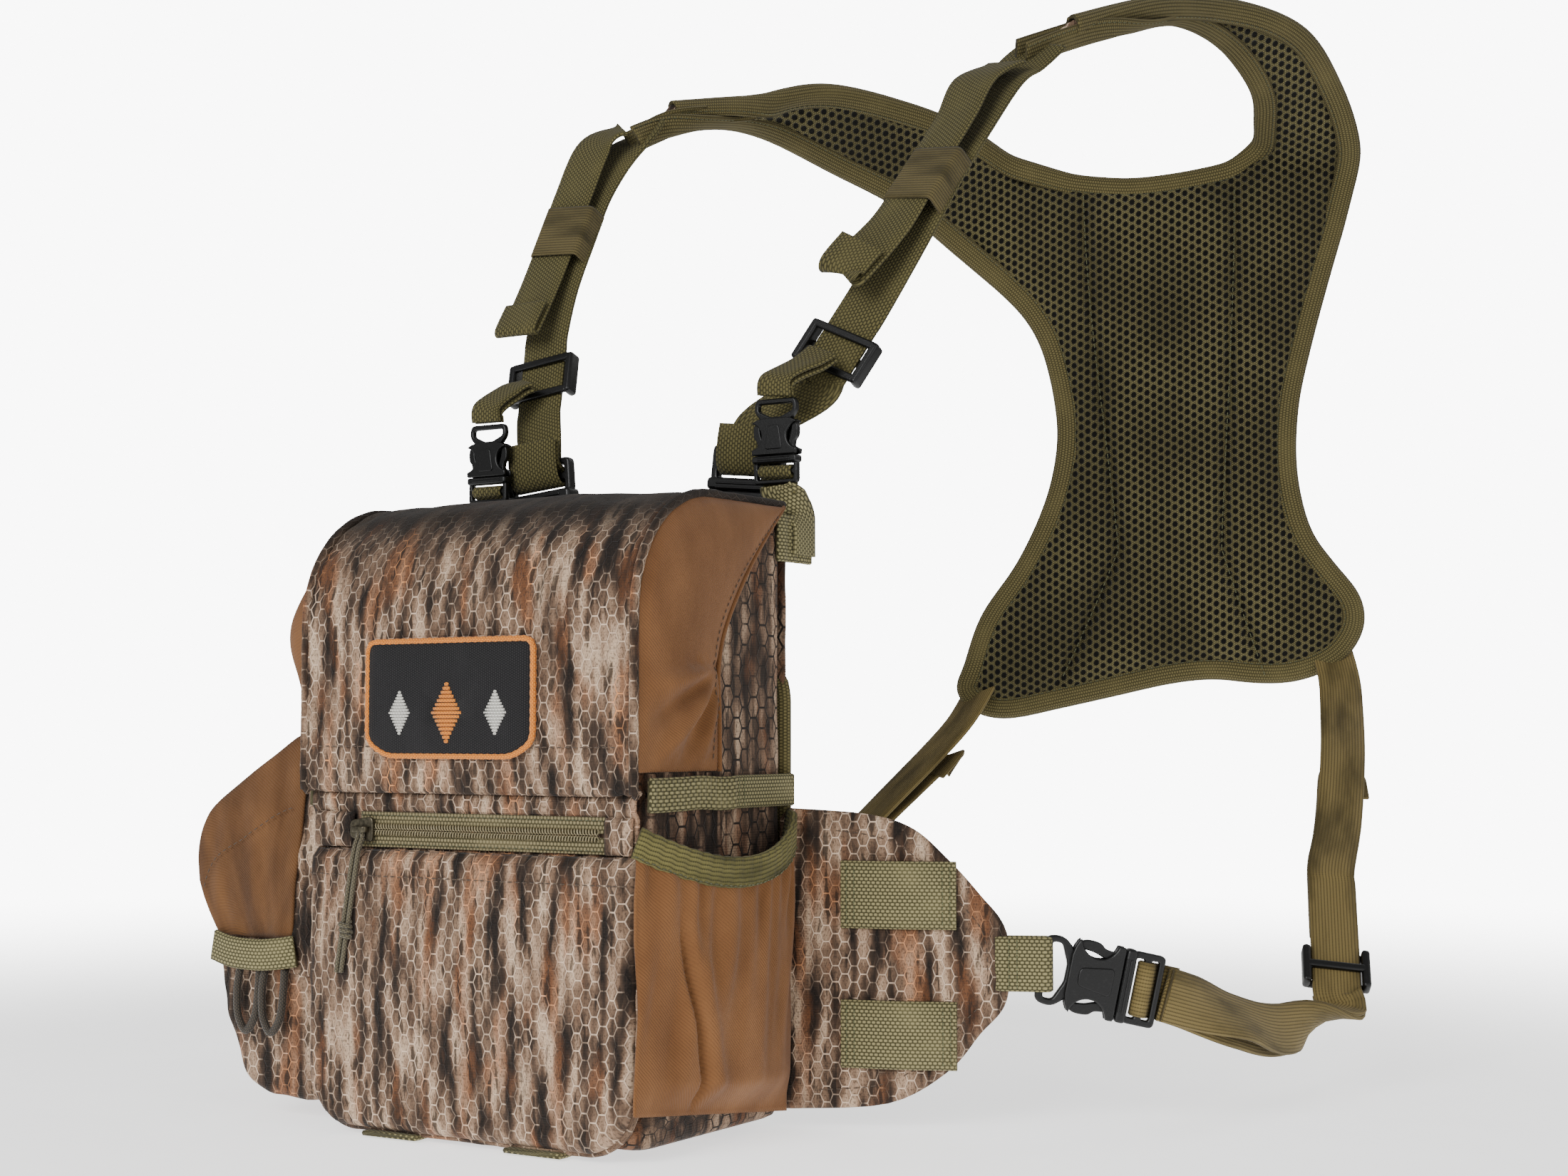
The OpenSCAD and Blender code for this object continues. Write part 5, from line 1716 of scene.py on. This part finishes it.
# ---- Yoke ----
YOKE_O = np.array((96.0, 300.0, 0.0))
YOKE_TURN = math.radians(22)
YOKE_T = 8
YOKE_OUTLINE = [(-93, 52), (-97, 42), (-88, 32), (-72, 29), (-47, 34), (-20, 40), (7, 46),
                (28, 48), (48, 46), (67, 47), (86, 55), (97, 70), (96, 86), (84, 102),
                (73, 119), (67, 147), (68, 178), (74, 206), (83, 239), (91, 266), (96, 286)]
YOKE_NECK = [(50, 303), (38, 299), (15, 295), (-11, 293), (-38, 296), (-61, 300)]
YOKE_LEFT_EDGE = [(-90, 254), (-75, 241), (-62, 227), (-53, 210), (-47, 184), (-46, 161),
                  (-52, 134), (-66, 104), (-84, 78)]
ARM_RIGHT_NECK = [(142, 322, 307), (148, 306, 313), (155, 282, 324), (152, 243, 337),
                  (145, 198, 336), (137, 152, 318), (119, 108, 298)]
ARM_RIGHT_OUTER = [(185, 340, 290), (190, 330, 304), (189, 308, 326), (184, 272, 345),
                   (166, 232, 350), (151, 180, 340), (134, 128, 320)]
ARM_LEFT_NECK = [(36, 280, 302), (25, 246, 314), (10, 213, 321), (-9, 167, 322),
                 (-25, 128, 310), (-44, 88, 300)]
ARM_LEFT_OUTER = [(9, 269, 256), (-6, 232, 277), (-24, 198, 290), (-38, 148, 300),
                  (-38, 100, 292), (-44, 64, 275)]


YOKE_CHANNELS = (-33, 40)     # where the sewn channels start, at the neck


def yoke_point(s, depth, z):
    """Places a point of the back pad's own frame."""
    c, t = math.cos(YOKE_TURN), math.sin(YOKE_TURN)
    return YOKE_O + (s * c - depth * t, s * t + depth * c, z)


def arm_band(neck, outer):
    """A closed solid between an arm's two edges, narrower than its binding."""
    a, b = (spline([1.6 * np.array(e[0]) - 0.6 * np.array(e[1]), *e], 8) for e in (neck, outer))
    a, b = a + (b - a) * 0.04, b + (a - b) * 0.04
    normal = unit(np.cross(unit(np.gradient((a + b) / 2, axis=0)), b - a)) * 2.8
    rows = np.stack([a + normal, b + normal, b - normal, a - normal], axis=1)
    shape = Shape()
    shape.grid(rows, np.zeros((len(a), 5, 2)), wrap=True, ends=True)
    return shape


def yoke_edges():
    """The pad's two free edges as (point, normal, inward), each one smooth line."""
    pad_normal = unit(yoke_point(0, 1, 0) - yoke_point(0, 0, 0))
    edges = []
    for neck_side in (True, False):
        step, arm_sign = (1, 1) if neck_side else (-1, -1)
        right = (ARM_RIGHT_NECK, ARM_RIGHT_OUTER)[::step]
        left = (ARM_LEFT_NECK, ARM_LEFT_OUTER)[::step]
        middle = YOKE_NECK if neck_side else [*YOKE_OUTLINE[::-1], *YOKE_LEFT_EDGE[::-1]]
        flat = spline(middle[1:-1], 6)
        parts = [arm_edge(*right, arm_sign)[::-1], pad_edge(flat, pad_normal),
                 arm_edge(*left, arm_sign)]
        points = np.vstack(parts)
        edges.append(even_edge(points))
    return edges


def arm_edge(own, other, sign):
    """Rows of point, normal and inward direction along one edge of an arm."""
    a, b = spline(own, 6)[2:], spline(other, 6)[2:]
    normal = unit(np.cross(np.gradient(a, axis=0), b - a)) * sign
    return np.hstack([a, normal, unit(b - a)])


def pad_edge(flat, normal):
    """The same along an edge of the flat back pad."""
    points = np.array([yoke_point(s, YOKE_T / 2, z) for s, z in flat])
    middle = yoke_point(8, YOKE_T / 2, 170)
    along = unit(np.gradient(points, axis=0))
    inward = unit(np.cross(along, np.broadcast_to(normal, along.shape)))
    turn = np.sign(np.sum(inward * (middle - points), axis=1))
    turn[:] = 1 if turn.sum() > 0 else -1
    return np.hstack([points, np.broadcast_to(normal, points.shape), inward * turn[:, None]])


def even_edge(rows):
    """Evens out an edge's points, turns its normals one way and smooths the joins."""
    for k in range(1, len(rows)):
        if rows[k, 3:6] @ rows[k - 1, 3:6] < 0:
            rows[k, 3:6] *= -1
    at = lengths(rows[:, :3])
    keep = np.concatenate([[True], np.diff(at) > 0.5])
    rows, at = rows[keep], at[keep]
    goal = np.linspace(0, at[-1], int(at[-1] / 2.5))
    rows = np.stack([np.interp(goal, at, rows[:, k]) for k in range(9)], axis=1)
    for _ in range(5):
        rows[1:-1] = (rows[:-2] + 2 * rows[1:-1] + rows[2:]) / 4
    return rows


def make_yoke():
    """The padded yoke: air mesh towards the wearer, camo outside, bound at its edges."""
    outline = [*spline(YOKE_OUTLINE, 3), *spline(YOKE_NECK, 3), *spline(YOKE_LEFT_EDGE, 3)]
    pad = prism(outline, YOKE_T / 2 - 3.2, YOKE_T / 2 + 3.2, yoke_point)
    yoke = pad.make("yoke", MATERIALS["mesh"], MATERIALS["camo"])
    parts = [arm_band(ARM_RIGHT_NECK, ARM_RIGHT_OUTER).make("arm_right"),
             arm_band(ARM_LEFT_NECK, ARM_LEFT_OUTER).make("arm_left")]
    for part in parts:
        union = yoke.modifiers.new("join", "BOOLEAN")
        union.operation = "UNION"
        union.solver = "EXACT"
        union.object = part
        apply_modifiers(yoke)
        bpy.data.objects.remove(part)
    remesh(yoke, 2.6)
    puff(yoke, 3, 1.5)
    edges = yoke_edges()
    shape_yoke(yoke, edges)
    torso = np.array((40, 140, 170))
    for face in yoke.data.polygons:
        here = np.array(face.center) / MM
        depth = (here - YOKE_O) @ (-math.sin(YOKE_TURN), math.cos(YOKE_TURN), 0)
        on_pad = here[2] < 296 and abs(depth - YOKE_T / 2) < 8
        inner = depth < YOKE_T / 2 if on_pad else (torso - here) @ np.array(face.normal) > 0
        face.material_index = 0 if inner else 1
    lay_cloth(yoke, (math.cos(YOKE_TURN), math.sin(YOKE_TURN), 0), (0, -0.35, 1))
    yoke.data.shade_smooth()
    finish_piece(yoke, "pouch", "spacer_mesh", "yoke_back", "yoke_arm_right", "yoke_arm_left")
    for number, top in enumerate(YOKE_CHANNELS):
        line = [yoke_point(channel_place(top, z), -0.6, z) for z in np.linspace(286, 48, 90)]
        sewn = stitches(f"yoke_channel_{number + 1}", np.array(line), MATERIALS["thread_green"],
                        3.2, 2.3, 0.6)
        finish_piece(sewn, "pouch", "webbing_strap")
    for name, rows in zip(("yoke_binding_neck", "yoke_binding_outer"), edges):
        bind_edge(name, rows[:, :3], rows[:, 3:6], rows[:, 6:9], 3.0, 9.5)


def channel_place(top, z):
    """How far across the pad a sewn channel runs at each height."""
    low = -14 if top < 0 else 30
    line = top + (low - top) * smooth((292 - z) / 250)
    return line + np.maximum(110 - z, 0) * (-0.5 if top < 0 else 0.35)


def shape_yoke(yoke, edges):
    """Thins the pad towards its binding and sews in its two long channels."""
    points = coordinates(yoke)
    rims = np.vstack(edges)
    away, near = nearest(points, rims[:, :3])
    lift = np.sum((points - rims[near, :3]) * rims[near, 3:6], axis=1)
    keep = 0.62 + 0.38 * smooth(away / 20)
    points = points - rims[near, 3:6] * (lift * (1 - keep) * (away < 24))[:, None]
    flat = points - YOKE_O
    c, t = math.cos(YOKE_TURN), math.sin(YOKE_TURN)
    s = flat[:, 0] * c + flat[:, 1] * t
    depth = -flat[:, 0] * t + flat[:, 1] * c
    z = flat[:, 2]
    on_pad = smooth((away - 9) / 8) * (z > 30) * (z < 292) * (np.abs(depth - YOKE_T / 2) < 7)
    groove = np.zeros(len(points))
    for top in YOKE_CHANNELS:
        groove += np.exp(-((s - channel_place(top, z)) / 3.0) ** 2)
    inward = np.where(depth < YOKE_T / 2, 1.0, -1.0) * groove * on_pad * 3.0
    swell = np.where(depth < YOKE_T / 2, -1.0, 0.6) * on_pad * (1 - np.minimum(groove, 1)) * 2.2
    shift = inward + swell
    points += np.stack([-shift * t, shift * c, 0 * shift], axis=1)
    set_coordinates(yoke, points)


def main():
    make_camera()
    make_materials()
    make_pull()
    make_lanyard()
    make_studio()
    make_shell()
    make_chest_panel()
    make_lid()
    make_badge()
    make_front_pocket()
    make_zip_backing()
    make_zip()
    make_slider()
    make_stretch_pocket()
    make_side_pouch()
    make_hood()
    for side in (RIGHT, LEFT):
        make_gusset(side)
        make_band(side)
        make_wing(side)
    make_rows()
    make_base_webbing()
    make_buckles()
    make_side_straps()
    make_shoulder_straps()
    make_tethers()
    make_yoke()
    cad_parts["chest_foam"].data.materials.clear()
    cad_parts["chest_foam"].data.materials.append(MATERIALS["foam"])


main()
